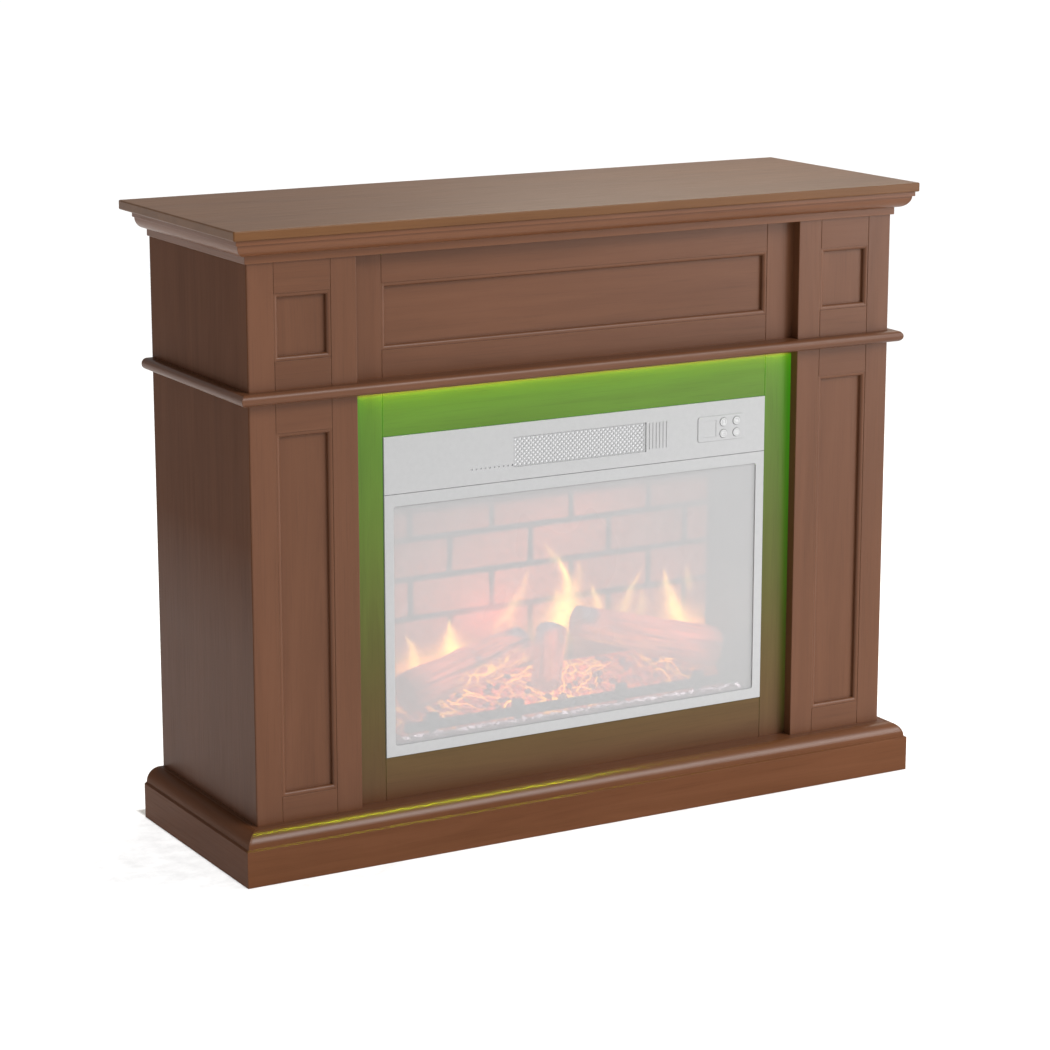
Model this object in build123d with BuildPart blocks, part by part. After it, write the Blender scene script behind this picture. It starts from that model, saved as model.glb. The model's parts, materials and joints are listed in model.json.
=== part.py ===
from build123d import *
import os

# Electric fireplace: a panelled timber mantel with a steel fireplace insert.
# Origin on the floor at the centre of the footprint, +Z up, the front faces -Y.
# All sizes in millimetres.

os.makedirs("parts", exist_ok=True)

# ---------------------------------------------------------------- driving sizes
HEIGHT = 1000
BOARD = 18  # timber board thickness
JOINT = 0.2  # hairline gap at each glued joint
EASE = 0.6  # small chamfer that shows a joint as a fine groove
ARRIS = 0.8  # rounding of the moulded edges

# Carcass
BODY_X = 580  # half width
BODY_FRONT, BODY_BACK = -181, 180  # pilaster faces, open back
FRIEZE_FRONT = BODY_FRONT + BOARD
FRIEZE_BACK = FRIEZE_FRONT + BOARD
SIDE_IN = BODY_X - BOARD
CORNER_ROUND = 2.5

# Top shelf; its overhang at the back clears a skirting board on the wall
SHELF_X = 613.5
SHELF_T = 15
SHELF_FRONT, SHELF_BACK = -214, 219
SHELF_ROUND = 2.5
BODY_TOP = HEIGHT - SHELF_T

# Crown moulding below the shelf: fillet, ovolo, band
CROWN_FILLET_OUT, CROWN_FILLET_H = 28, 7.5
CROWN_OVOLO_R, CROWN_OVOLO_OUT = 19, 24.5
CROWN_BAND_OUT, CROWN_BAND_H = 4, 12

# Half-round moulding that runs round the mantel above the insert
MID_Z, MID_T, MID_OUT = 736, 18, 19

# Plinth: moulded skirting round a base board
PLINTH_X, PLINTH_FRONT = 614, -219
PLINTH_T = 27
PLINTH_FACE_H = 56.8
PLINTH_STEP_OUT, PLINTH_STEP_UP = 3.8, 2.4
PLINTH_OVOLO_R = 22.8
BODY_FOOT = 82

# Pilasters: a frame of stiles and rails round two sunk panels
PILASTER_IN = 400
RECESS_IN, RECESS_OUT = 443, 536.5
UPPER_RECESS = (797.5, 899.5)
LOWER_RECESS = (122, 689)

# Sunk panels
QUIRK = 0.8
MOULD_W, SINK = 7, 7
MOULD_R = 5

# Surround between the pilasters
OPENING_X = 349.5
OPENING_Z = (151.5, 662.5)
FRIEZE_RECESS = (796.5, 899.5)

# LED groove under the half-round moulding
LED_X = 392
LED_Y = (-178, -166)
LED_GROOVE = 8
LED_COVER_T = 1.6

# Insert: pressed steel face in two panels, header and window frame
INSERT_X = 349
INSERT_Z = (OPENING_Z[0], 662)
INSERT_FRONT = -165
SHEET = 1.5
LIP_BACK = -150
SEAM_Z, SEAM_GAP = 571.2, 0.6
WINDOW_X, WINDOW_Z = 333, (169, 552)
WINDOW_CORNER = 4
GLASS_T = 4
MESH_X, MESH_Z = 122, (592, 640)
FACE_ROUND = 1
GLASS_LAP = 8
VENT_X, VENT_Z, VENT_R = -160, 596, 1.5
VENTS, VENT_PITCH = 10, 8
RIB_X, RIB_Z, RIB_W, RIB_H, RIB_DEEP = 145, 617, 2.4, 42, 1.6
RIBS, RIB_PITCH = 6, 6.4

# Controls
PANEL_X, PANEL_Z = (219.5, 308.5), (597, 638)
PANEL_FLANGE = 1.2
PANEL_BACK = -158
PANEL_LAP, PANEL_CORNER, PANEL_ROUND = 2, 4, 0.6
DISPLAY_X, DISPLAY_Z = (226, 254), (604, 631)
BUTTON_R, BUTTON_GAP = 7, 0.4
BUTTON_XS, BUTTON_ZS = (268, 293), (608, 627)
BUTTON_FRONT = -167.2
BUTTON_COLLAR = (-157.7, -156)
BUTTON_STEM_END = -153
BUTTON_ROUND, BUTTON_COLLAR_OUT, BUTTON_STEM_R = 0.8, 1.4, 2.5
BOARD_FACE, PCB_T = -148, 1.6
SWITCH_H, SWITCH_W = 3.5, 6
PCB_X, PCB_Z = (212, 316), (590, 645)
POST_INSET, POST_R = 3, 2.5
LED_MODULE_INSET, LED_MODULE_T = 2, 2
PLUG_X, PLUG_Z, PLUG_DEEP = (230, 262), (598, 608), 9

# Housing and firebox
CASE_X, CASE_Z = 347.3, (153.2, 660.3)
CASE_T = 1.2
CASE_FRONT, CASE_BACK = -158, 38
CASE_FLANGE = 13
SKID_X, SKID_W = 250, 30
COVER_SCREW_X, COVER_SCREW_Z = 340, (160, 406, 653)
LINER_X, LINER_Z = 332.2, (166, 556)
LINER_Y = (-158.5, -16)
BRICK_FACE, BRICK_T = -23, 6
BRICK_X, BRICK_Z = 330.8, (167.4, 554.6)
COURSE, BRICK_PITCH = 65, 149
MORTAR_W, MORTAR_D = 8, 1.6
FIRST_BED_JOINT = 199
BED_JOINTS = 6
HEAD_JOINTS_A, HEAD_JOINTS_B = -231, -308  # first upright joint of odd and even courses

# Flame spindle behind the brick screen
SPINDLE_Y, SPINDLE_Z = 8, 215
SHAFT_R, RUNNING_GAP = 3, 0.05
SPINDLE_ENDS = (-300, 264)
FLAG_L, FLAG_W, FLAG_T = 24, 22, 0.8
FLAGS, FLAG_PITCH, FLAG_TURN = 16, 33, 50
BEARING_XS = (-293, 247)
SPINDLE_MOTOR_X = (255, 273)
FIRST_FLAG_X = -272
SPINDLE_MOTOR_R, MOTOR_ROUND = 20, 1.5
PLATE_T, PLATE_HALF, PLATE_ABOVE, PLATE_FOOT = 3, 11, 12, 14
FLAME_BOARD_X, FLAME_BOARD_Z, FLAME_BOARD_Y = (-290, 235), (168, 186), 29
FLAME_LEDS, FLAME_LED_PITCH, FIRST_FLAME_LED_X = 12, 44, -268
FLAME_LED_W, FLAME_LED_T = 5, 2
FLAME_POST_XS, FLAME_POST_R = (-250, 200), 3

# Fan heater above the firebox
FAN_Y, FAN_Z = -85, 612
FAN_HALF, FAN_R = 92, 21.5
FAN_CASE_R = 31.5
FAN_MOTOR_X = (104, 134)
HEATER_X, HEATER_Y, HEATER_Z = 95, (-150, -128), (594, 638)
HEATER_ROWS, HEATER_ROW_PITCH, HEATER_ROW_H = 4, 10, 8
HEATER_END, HEATER_EDGE, FINS, FIN_T = 6, 3, 36, 0.6
FAN_WALL, FAN_END = 1.5, 4
FAN_OUTLET_Z, FAN_INLET_Z = (-16, 24), (-22, 14)  # mouths, from the fan axis
FAN_OUTLET_Y, FAN_INLET_Y = (-40, -15), (12, 40)
FAN_FOOT_X, FAN_FOOT_W, FAN_FOOT_T = 70, 16, 3
BLADES, BLADE_L, BLADE_T, BLADE_TURN, BLADE_IN = 24, 6.5, 0.8, 28, 4
DISC_T, FAN_SHAFT_OUT = 1, 8
FAN_MOTOR_R, FAN_MOTOR_ROUND, FAN_BORE = 19, 2, 15
FAN_CRADLE_HALF, FAN_CRADLE_IN, FAN_CRADLE_TOP = 14, 8, 10

# Log set
BED_Y = (-124, -44)
BED_X, BED_FRONT_H, BED_MID_Y, BED_MID_H, BED_BACK_H = 300, 12, -80, 48, 62
STRIP_X, STRIP_Y, STRIP_H, STRIP_FLOOR_H = 318, (-156, -146), 9, 3
BAR_X, BAR_Y, BAR_Z = 300, (-142, -130), (178, 192)
BAR_ROUND = 2
GRATE_POSTS = (-252, -98, 96, 244)
GRATE_POST_W, GRATE_POST_UP, GRATE_LEG_W = 18, 12, 10
LOGS = {
    "log_left": ((-290, -112, 234), (-54, -76, 278), 33, 32),
    "log_centre": ((-36, -118, 215), (8, -60, 290), 25, 27),
    "log_right": ((46, -72, 300), (292, -112, 234), 28, 35),
}
LOG_GAP = 0.4

# Fixings at the back
BRACKET_XS = (-400, 400)
BRACKET_W, BRACKET_T = 40, 2
BRACKET_RAIL_Z, BRACKET_STEP_Z, BRACKET_WALL_Z = (905, 945), 905, (865, 905)
BRACKET_SCREW_Z = (BRACKET_RAIL_Z[0] + 12, BRACKET_RAIL_Z[1] - 8)
WALL_HOLE_R, WALL_HOLE_Z = 2.75, 882
WOOD_SCREW_L, COVER_SCREW_L = 16, 6
SCREW_R, SCREW_HOLE_R = 1.95, 2.1
SCREW_HEAD_R, SCREW_HEAD_H = 4, 2.4
COVER_T = 1.2
GLAND_X, GLAND_Z, GLAND_R, CORD_HOLE_R = 290, 200, 12, 3.75
GLAND_NECK, GLAND_HEAD_H, GLAND_NECK_L, GLAND_ROUND = 3, 8, 6, 2
LOUVRE_L, LOUVRE_H, LOUVRE_PITCH = 70, 4, 12
LOUVRE_ZS, LOUVRE_COLS, LOUVRE_ROWS = (600, 230), 5, 6

# Boards that carry the insert
TRAY_X, TRAY_BACK = 440, 60
LEG_X, LEG_FRONT_IN, LEG_BACK = 300, 5, 50

# Controller of the LED strip
CONTROLLER_X, CONTROLLER_Z, CONTROLLER_T = (385, 465), (690, 735), 24
CONTROLLER_ROUND = 3

OVERCUT = 1  # how far a cut passes beyond the face it opens
INNER_ARRIS = 1.2


# ---------------------------------------------------------------- helpers
def save(piece, name):
    """Label a finished piece and write its STEP file."""
    piece.part.label = name
    export_step(piece.part, f"parts/{name}.step")


def board(x, y, z, mode=Mode.ADD):
    """A rectangular block spanning the given pairs of coordinates."""
    middle = tuple((pair[0] + pair[1]) / 2 for pair in (x, y, z))
    with Locations(middle):
        Box(abs(x[1] - x[0]), abs(y[1] - y[0]), abs(z[1] - z[0]), mode=mode)


def rod(start, end, radius, axis, mode=Mode.ADD):
    """A cylinder along X or Y from the point start to the coordinate end."""
    turn = (0, 90, 0) if axis == "x" else (-90, 0, 0)
    first = start[0] if axis == "x" else start[1]
    origin = list(start)
    origin[0 if axis == "x" else 1] = (first + end) / 2
    with Locations(tuple(origin)):
        Cylinder(radius, abs(end - first), rotation=turn, mode=mode)


def run_plane(side, half_width, front):
    """Plane across a moulding: local x points out of the body, local y up."""
    if side == "front":
        return Plane(origin=(0, front, 0), x_dir=(0, -1, 0), z_dir=(-1, 0, 0))
    sign = -1 if side == "left" else 1
    return Plane(origin=(sign * half_width, 0, 0), x_dir=(sign, 0, 0), z_dir=(0, -sign, 0))


def trim_run(side, half_width, front):
    """Mitre a long moulding at the front corners and square it off at the back."""
    for sign in (-1, 1):
        mitre = Plane(origin=(sign * half_width, front, 0), z_dir=(sign, 1, 0))
        if side == "front":
            split(bisect_by=mitre, keep=Keep.BOTTOM)
        elif (side == "left") == (sign < 0):
            split(bisect_by=mitre, keep=Keep.TOP)
    if side != "front":
        split(bisect_by=Plane(origin=(0, BODY_BACK, 0), z_dir=(0, 1, 0)), keep=Keep.BOTTOM)


def corner_boards(sign):
    """The outer stile and the side panel as one corner, before it is mitred."""
    with BuildSketch(Plane.XY.offset(BODY_FOOT)) as section:
        with BuildLine():
            Polyline(
                (sign * RECESS_OUT, BODY_FRONT),
                (sign * BODY_X, BODY_FRONT),
                (sign * BODY_X, BODY_BACK),
                (sign * SIDE_IN, BODY_BACK),
                (sign * SIDE_IN, FRIEZE_FRONT),
                (sign * RECESS_OUT, FRIEZE_FRONT),
                close=True,
            )
        make_face()
        outer = section.vertices().sort_by_distance((sign * BODY_X, BODY_FRONT))[0]
        fillet(outer, CORNER_ROUND)
    extrude(section.sketch, amount=BODY_TOP - BODY_FOOT)


def sunk_panel(x, z, front):
    """A board with its field sunk behind a rounded moulding on all four sides."""
    face = front + QUIRK
    board(x, (face, front + BOARD), z)
    low_x, high_x = min(x), max(x)
    board(
        (low_x + MOULD_W, high_x - MOULD_W),
        (face, face + SINK),
        (z[0] + MOULD_W, z[1] - MOULD_W),
        mode=Mode.SUBTRACT,
    )


def seam_relief(z):
    """Notches at the ends of a seam flange, where the sides of the housing pass."""
    for sign in (-1, 1):
        notch = (sign * (CASE_X - CASE_T - JOINT), sign * (INSERT_X - SHEET))
        board(notch, (INSERT_FRONT + SHEET, LIP_BACK), z, mode=Mode.SUBTRACT)


def log_shape(start, end, start_r, end_r, grow=0.0, mode=Mode.ADD):
    """A tapered round log between two points."""
    axis = Vector(*end) - Vector(*start)
    with BuildSketch(Plane(origin=start, z_dir=axis)) as butt:
        Circle(start_r + grow)
    with BuildSketch(Plane(origin=end, z_dir=axis)) as tip:
        Circle(end_r + grow)
    loft([butt.sketch.faces()[0], tip.sketch.faces()[0]], mode=mode)


RUN = 700  # longer than any moulding, before it is trimmed

# ---------------------------------------------------------------- mantel: top
with BuildPart() as shelf_top:
    board((-SHELF_X, SHELF_X), (SHELF_FRONT, SHELF_BACK), (BODY_TOP, HEIGHT))
    corners = shelf_top.edges().filter_by(Axis.Z).group_by(Axis.Y)[0]
    fillet(corners, SHELF_ROUND)
    rim = shelf_top.faces().sort_by(Axis.Z)[-1].edges() + shelf_top.faces().sort_by(Axis.Z)[0].edges()
    fillet(rim.filter_by(lambda edge: edge.center().Y < SHELF_BACK - 1), SHELF_ROUND)
save(shelf_top, "shelf_top")

crown_top = BODY_TOP - CROWN_FILLET_H
crown_foot = crown_top - CROWN_OVOLO_R
ovolo_in = CROWN_OVOLO_OUT - CROWN_OVOLO_R
for side in ("front", "left", "right"):
    with BuildPart() as crown:
        with BuildSketch(run_plane(side, BODY_X, BODY_FRONT)) as section:
            with BuildLine():
                Polyline(
                    (CROWN_OVOLO_OUT, crown_top),
                    (CROWN_FILLET_OUT, crown_top),
                    (CROWN_FILLET_OUT, BODY_TOP),
                    (0, BODY_TOP),
                    (0, crown_foot - CROWN_BAND_H),
                    (CROWN_BAND_OUT, crown_foot - CROWN_BAND_H),
                    (CROWN_BAND_OUT, crown_foot),
                    (ovolo_in, crown_foot),
                )
                CenterArc((ovolo_in, crown_top), CROWN_OVOLO_R, -90, 90)
            make_face()
            fillet(section.vertices().group_by(Axis.X)[-1], ARRIS)
            band = section.vertices().filter_by(lambda corner: abs(corner.X - CROWN_BAND_OUT) < QUIRK)
            fillet(band.sort_by(Axis.Y)[0], ARRIS)
        extrude(amount=RUN, both=True)
        trim_run(side, BODY_X, BODY_FRONT)
    save(crown, f"crown_{side}")

# ---------------------------------------------------------------- mantel: carcass
for sign, word in ((-1, "left"), (1, "right")):
    with BuildPart() as side_panel:
        corner_boards(sign)
        trim_run(word, BODY_X, BODY_FRONT)
    save(side_panel, f"side_panel_{word}")

with BuildPart() as base_board:
    board(
        (-PLINTH_X + PLINTH_T, PLINTH_X - PLINTH_T),
        (PLINTH_FRONT + PLINTH_T, BODY_BACK),
        (BODY_FOOT - BOARD, BODY_FOOT),
    )
save(base_board, "base_board")

BACK_RAIL_H = 100
with BuildPart() as back_rails:
    board((-SIDE_IN, SIDE_IN), (BODY_BACK - BOARD, BODY_BACK), (BODY_TOP - BACK_RAIL_H, BODY_TOP))
    board(
        (-PLINTH_X + PLINTH_T, PLINTH_X - PLINTH_T),
        (BODY_BACK - BOARD, BODY_BACK),
        (0, BODY_FOOT - BOARD),
    )
    for bracket_x in BRACKET_XS:
        for screw_z in BRACKET_SCREW_Z:
            rod((bracket_x, BODY_BACK, screw_z), BODY_BACK - BOARD, SCREW_HOLE_R, "y", Mode.SUBTRACT)
save(back_rails, "back_rails")

# ---------------------------------------------------------------- mantel: pilasters
for sign, word in ((-1, "left"), (1, "right")):
    rail_x = (sign * (RECESS_IN + JOINT), sign * (RECESS_OUT - JOINT))
    frame_y = (BODY_FRONT, FRIEZE_FRONT)
    with BuildPart() as frame:
        corner_boards(sign)
        trim_run("front", BODY_X, BODY_FRONT)
        board((sign * PILASTER_IN, sign * RECESS_IN), frame_y, (BODY_FOOT, BODY_TOP))
        board(rail_x, frame_y, (UPPER_RECESS[1], BODY_TOP))
        board(rail_x, frame_y, (LOWER_RECESS[1], UPPER_RECESS[0]))
        board(rail_x, frame_y, (BODY_FOOT, LOWER_RECESS[0]))
        arrises = frame.edges().filter_by(Axis.Z).group_by(Axis.Y)[0]
        arrises = arrises.filter_by(lambda edge: abs(edge.center().X) < RECESS_OUT + 1)
        inner_arris = arrises.sort_by(lambda edge: abs(edge.center().X))[0]
        chamfer(arrises - [inner_arris], EASE)
        inner_corner = (sign * PILASTER_IN, BODY_FRONT, (BODY_FOOT + BODY_TOP) / 2)
        fillet(frame.edges().filter_by(Axis.Z).sort_by_distance(inner_corner)[0], INNER_ARRIS)
    save(frame, f"pilaster_frame_{word}")

    for place, (low, high) in (("upper", UPPER_RECESS), ("lower", LOWER_RECESS)):
        with BuildPart() as panel:
            sunk_panel(rail_x, (low + JOINT, high - JOINT), BODY_FRONT)
            mouth = panel.faces().sort_by(Axis.Y)[0].inner_wires()[0].edges()
            fillet(mouth, MOULD_R)
        save(panel, f"pilaster_{place}_panel_{word}")

# ---------------------------------------------------------------- mantel: surround
for sign, word in ((-1, "left"), (1, "right")):
    with BuildPart() as stile:
        board((sign * OPENING_X, sign * SIDE_IN), (FRIEZE_FRONT, FRIEZE_BACK), (BODY_FOOT, BODY_TOP))
        inner = stile.edges().filter_by(Axis.Z).group_by(Axis.Y)[0].sort_by(Axis.X)
        chamfer(inner[-1] if sign < 0 else inner[0], EASE)
    save(stile, f"surround_stile_{word}")

rail_heights = {
    "frieze_top_rail": (FRIEZE_RECESS[1], BODY_TOP),
    "header_rail": (OPENING_Z[1], FRIEZE_RECESS[0]),
    "bottom_rail": (BODY_FOOT, OPENING_Z[0]),
}
span = (-OPENING_X + JOINT, OPENING_X - JOINT)
for name, heights in rail_heights.items():
    with BuildPart() as rail:
        board(span, (FRIEZE_FRONT, FRIEZE_BACK), heights)
        chamfer(rail.edges().filter_by(Axis.Z).group_by(Axis.Y)[0], EASE)
    save(rail, name)

with BuildPart() as frieze_panel:
    sunk_panel(span, (FRIEZE_RECESS[0] + JOINT, FRIEZE_RECESS[1] - JOINT), FRIEZE_FRONT)
    fillet(frieze_panel.faces().sort_by(Axis.Y)[0].inner_wires()[0].edges(), MOULD_R)
save(frieze_panel, "frieze_panel")

# ---------------------------------------------------------------- mantel: half-round moulding
nose_r = MID_T / 2
nose_out = MID_OUT - nose_r


def mid_moulding_run(side):
    """One mitred length of the half-round moulding."""
    with BuildSketch(run_plane(side, BODY_X, BODY_FRONT)) as section:
        with BuildLine():
            Polyline((nose_out, MID_Z + MID_T), (0, MID_Z + MID_T), (0, MID_Z), (nose_out, MID_Z))
            CenterArc((nose_out, MID_Z + nose_r), nose_r, -90, 180)
        make_face()
    extrude(section.sketch, amount=RUN, both=True)


with BuildPart() as mid_moulding_front:
    mid_moulding_run("front")
    trim_run("front", BODY_X, BODY_FRONT)
    tongue = PILASTER_IN - JOINT
    board((-tongue, tongue), (BODY_FRONT, FRIEZE_FRONT), (MID_Z, MID_Z + MID_T))
    board((-LED_X, LED_X), LED_Y, (MID_Z, MID_Z + LED_GROOVE), mode=Mode.SUBTRACT)
save(mid_moulding_front, "mid_moulding_front")

with BuildPart() as mid_moulding_left:
    mid_moulding_run("left")
    trim_run("left", BODY_X, BODY_FRONT)

with BuildPart() as mid_moulding_returns:
    add(mid_moulding_left.part)
    mirror(mid_moulding_left.part, about=Plane.YZ)
save(mid_moulding_returns, "mid_moulding_returns")

with BuildPart() as led_diffuser:
    board(
        (-LED_X + JOINT, LED_X - JOINT),
        (LED_Y[0] + JOINT, LED_Y[1] - JOINT),
        (MID_Z, MID_Z + LED_COVER_T),
    )
save(led_diffuser, "led_diffuser")

LED_TAPE_T, LED_TAPE_IN, LED_TAPE_SIDE, LED_CHIP, LED_COUNT = 1.2, 4, 1, 5, 26
with BuildPart() as led_strip:
    tape_top = MID_Z + LED_GROOVE
    tape_y = (LED_Y[0] + LED_TAPE_SIDE, LED_Y[1] - LED_TAPE_SIDE)
    board((-LED_X + LED_TAPE_IN, LED_X - LED_TAPE_IN), tape_y, (tape_top - LED_TAPE_T, tape_top))
    chip_z = tape_top - LED_TAPE_T - LED_TAPE_T / 2
    with Locations((0, sum(LED_Y) / 2, chip_z)):
        with GridLocations(2 * LED_X / LED_COUNT, 1, LED_COUNT, 1):
            Box(LED_CHIP, LED_CHIP, LED_TAPE_T)
save(led_strip, "led_strip")

with BuildPart() as led_controller:
    board(CONTROLLER_X, (FRIEZE_BACK, FRIEZE_BACK + CONTROLLER_T), CONTROLLER_Z)
    fillet(led_controller.faces().sort_by(Axis.Y)[-1].edges(), CONTROLLER_ROUND)
save(led_controller, "led_controller")

# ---------------------------------------------------------------- mantel: plinth
for side in ("front", "left", "right"):
    inner_x, inner_y = PLINTH_X - PLINTH_T, PLINTH_FRONT + PLINTH_T
    ovolo_z = PLINTH_FACE_H + PLINTH_STEP_UP
    ovolo_centre = PLINTH_T - PLINTH_STEP_OUT - PLINTH_OVOLO_R
    with BuildPart() as plinth:
        with BuildSketch(run_plane(side, inner_x, inner_y)) as section:
            with BuildLine():
                Polyline(
                    (ovolo_centre, BODY_FOOT),
                    (0, BODY_FOOT),
                    (0, 0),
                    (PLINTH_T, 0),
                    (PLINTH_T, PLINTH_FACE_H),
                    (PLINTH_T - PLINTH_STEP_OUT, ovolo_z),
                )
                CenterArc((ovolo_centre, ovolo_z), PLINTH_OVOLO_R, 0, 90)
            make_face()
            fillet(section.vertices().sort_by_distance((PLINTH_T, PLINTH_FACE_H))[0], ARRIS)
        extrude(amount=RUN, both=True)
        trim_run(side, inner_x, inner_y)
    save(plinth, f"plinth_{side}")

# ---------------------------------------------------------------- mantel: insert support
with BuildPart() as insert_shelf:
    board((-TRAY_X, TRAY_X), (FRIEZE_BACK, TRAY_BACK), (OPENING_Z[0] - BOARD, OPENING_Z[0]))
save(insert_shelf, "insert_shelf")

with BuildPart() as shelf_supports:
    for leg_x in (-LEG_X, LEG_X):
        thickness = (leg_x - BOARD / 2, leg_x + BOARD / 2)
        board(thickness, (FRIEZE_BACK + LEG_FRONT_IN, LEG_BACK), (BODY_FOOT, OPENING_Z[0] - BOARD))
save(shelf_supports, "shelf_supports")

# ---------------------------------------------------------------- mantel: wall fixing
with BuildPart() as wall_brackets:
    for bracket_x in BRACKET_XS:
        width = (bracket_x - BRACKET_W / 2, bracket_x + BRACKET_W / 2)
        board(width, (BODY_BACK, BODY_BACK + BRACKET_T), BRACKET_RAIL_Z)
        board(width, (BODY_BACK, SHELF_BACK), (BRACKET_STEP_Z, BRACKET_STEP_Z + BRACKET_T))
        board(width, (SHELF_BACK - BRACKET_T, SHELF_BACK), (BRACKET_WALL_Z[0], BRACKET_STEP_Z + BRACKET_T))
        wall_hole_end = SHELF_BACK - BRACKET_T - OVERCUT
        rod((bracket_x, SHELF_BACK + OVERCUT, WALL_HOLE_Z), wall_hole_end, WALL_HOLE_R, "y", Mode.SUBTRACT)
        for screw_z in BRACKET_SCREW_Z:
            hole_end = BODY_BACK + BRACKET_T + OVERCUT
            rod((bracket_x, BODY_BACK - OVERCUT, screw_z), hole_end, SCREW_HOLE_R, "y", Mode.SUBTRACT)
save(wall_brackets, "wall_brackets")

# ---------------------------------------------------------------- insert: pressed steel face
with BuildPart() as header_panel:
    low, high = SEAM_Z, INSERT_Z[1]
    board((-INSERT_X, INSERT_X), (INSERT_FRONT, LIP_BACK), (low, high))
    fillet(header_panel.faces().sort_by(Axis.Y)[0].edges(), FACE_ROUND)
    board(
        (-INSERT_X + SHEET, INSERT_X - SHEET),
        (INSERT_FRONT + SHEET, LIP_BACK),
        (low + SHEET, high - SHEET),
        mode=Mode.SUBTRACT,
    )
    seam_relief((low, low + SHEET))
    sheet_y = (INSERT_FRONT, INSERT_FRONT + SHEET)
    board((-MESH_X, MESH_X), sheet_y, MESH_Z, mode=Mode.SUBTRACT)
    hole_x = (PANEL_X[0] + PANEL_LAP, PANEL_X[1] - PANEL_LAP)
    board(hole_x, sheet_y, (PANEL_Z[0] + PANEL_LAP, PANEL_Z[1] - PANEL_LAP), mode=Mode.SUBTRACT)
    with Locations((VENT_X, INSERT_FRONT, VENT_Z)):
        with GridLocations(VENT_PITCH, 1, VENTS, 1):
            Cylinder(VENT_R, 4 * SHEET, rotation=(90, 0, 0), mode=Mode.SUBTRACT)
    with Locations((RIB_X, INSERT_FRONT, RIB_Z)):
        with GridLocations(RIB_PITCH, 1, RIBS, 1):
            Box(RIB_W, RIB_DEEP, RIB_H)
save(header_panel, "header_panel")

with BuildPart() as window_frame:
    low, high = INSERT_Z[0], SEAM_Z - SEAM_GAP
    board((-INSERT_X, INSERT_X), (INSERT_FRONT, LIP_BACK), (low, high))
    fillet(window_frame.faces().sort_by(Axis.Y)[0].edges(), FACE_ROUND)
    board(
        (-INSERT_X + SHEET, INSERT_X - SHEET),
        (INSERT_FRONT + SHEET, LIP_BACK),
        (low + SHEET, high - SHEET),
        mode=Mode.SUBTRACT,
    )
    seam_relief((high - SHEET, high))
    with BuildSketch(Plane.XZ.offset(-INSERT_FRONT)):
        with Locations((0, sum(WINDOW_Z) / 2)):
            RectangleRounded(2 * WINDOW_X, WINDOW_Z[1] - WINDOW_Z[0], WINDOW_CORNER)
    extrude(amount=-2 * SHEET, mode=Mode.SUBTRACT)
save(window_frame, "window_frame")

glass_y = (INSERT_FRONT + SHEET, INSERT_FRONT + SHEET + GLASS_T)
with BuildPart() as front_glass:
    glass_x = (-WINDOW_X - GLASS_LAP, WINDOW_X + GLASS_LAP)
    board(glass_x, glass_y, (WINDOW_Z[0] - GLASS_LAP, WINDOW_Z[1] + GLASS_LAP))
    chamfer(front_glass.faces().sort_by(Axis.Y)[-1].edges(), EASE)
save(front_glass, "front_glass")

MESH_LAP, MESH_T, MESH_PITCH, MESH_HOLE = 4, 1.2, 8, 3.9
MESH_COLS, MESH_ROWS = 30, 6
with BuildPart() as outlet_grille:
    mesh_y = (INSERT_FRONT + SHEET, INSERT_FRONT + SHEET + MESH_T)
    board((-MESH_X - MESH_LAP, MESH_X + MESH_LAP), mesh_y, (MESH_Z[0] - MESH_LAP, MESH_Z[1] + MESH_LAP))
    with BuildSketch(Plane.XZ.offset(-mesh_y[0])):
        with Locations((0, sum(MESH_Z) / 2)):
            with GridLocations(MESH_PITCH, MESH_PITCH, MESH_COLS, MESH_ROWS):
                Rectangle(MESH_HOLE, MESH_HOLE, rotation=45)
            with GridLocations(MESH_PITCH, MESH_PITCH, MESH_COLS - 1, MESH_ROWS - 1):
                Rectangle(MESH_HOLE, MESH_HOLE, rotation=45)
    extrude(amount=-MESH_T, mode=Mode.SUBTRACT)
save(outlet_grille, "outlet_grille")

# ---------------------------------------------------------------- insert: controls
with BuildPart() as control_panel:
    board(PANEL_X, (INSERT_FRONT - PANEL_FLANGE, INSERT_FRONT), PANEL_Z)
    fillet(control_panel.edges().filter_by(Axis.Y), PANEL_CORNER)
    fillet(control_panel.faces().sort_by(Axis.Y)[0].edges(), PANEL_ROUND)
    lap = PANEL_LAP + JOINT
    plug_z = (PANEL_Z[0] + lap, PANEL_Z[1] - lap)
    board((PANEL_X[0] + lap, PANEL_X[1] - lap), (INSERT_FRONT, PANEL_BACK), plug_z)
    display_y = (INSERT_FRONT - PANEL_FLANGE, INSERT_FRONT - PANEL_FLANGE / 2)
    board(DISPLAY_X, display_y, DISPLAY_Z, mode=Mode.SUBTRACT)
    for button_x in BUTTON_XS:
        for button_z in BUTTON_ZS:
            centre = (button_x, BUTTON_FRONT - OVERCUT, button_z)
            rod(centre, PANEL_BACK + OVERCUT, BUTTON_R + BUTTON_GAP, "y", Mode.SUBTRACT)
save(control_panel, "control_panel")

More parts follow.
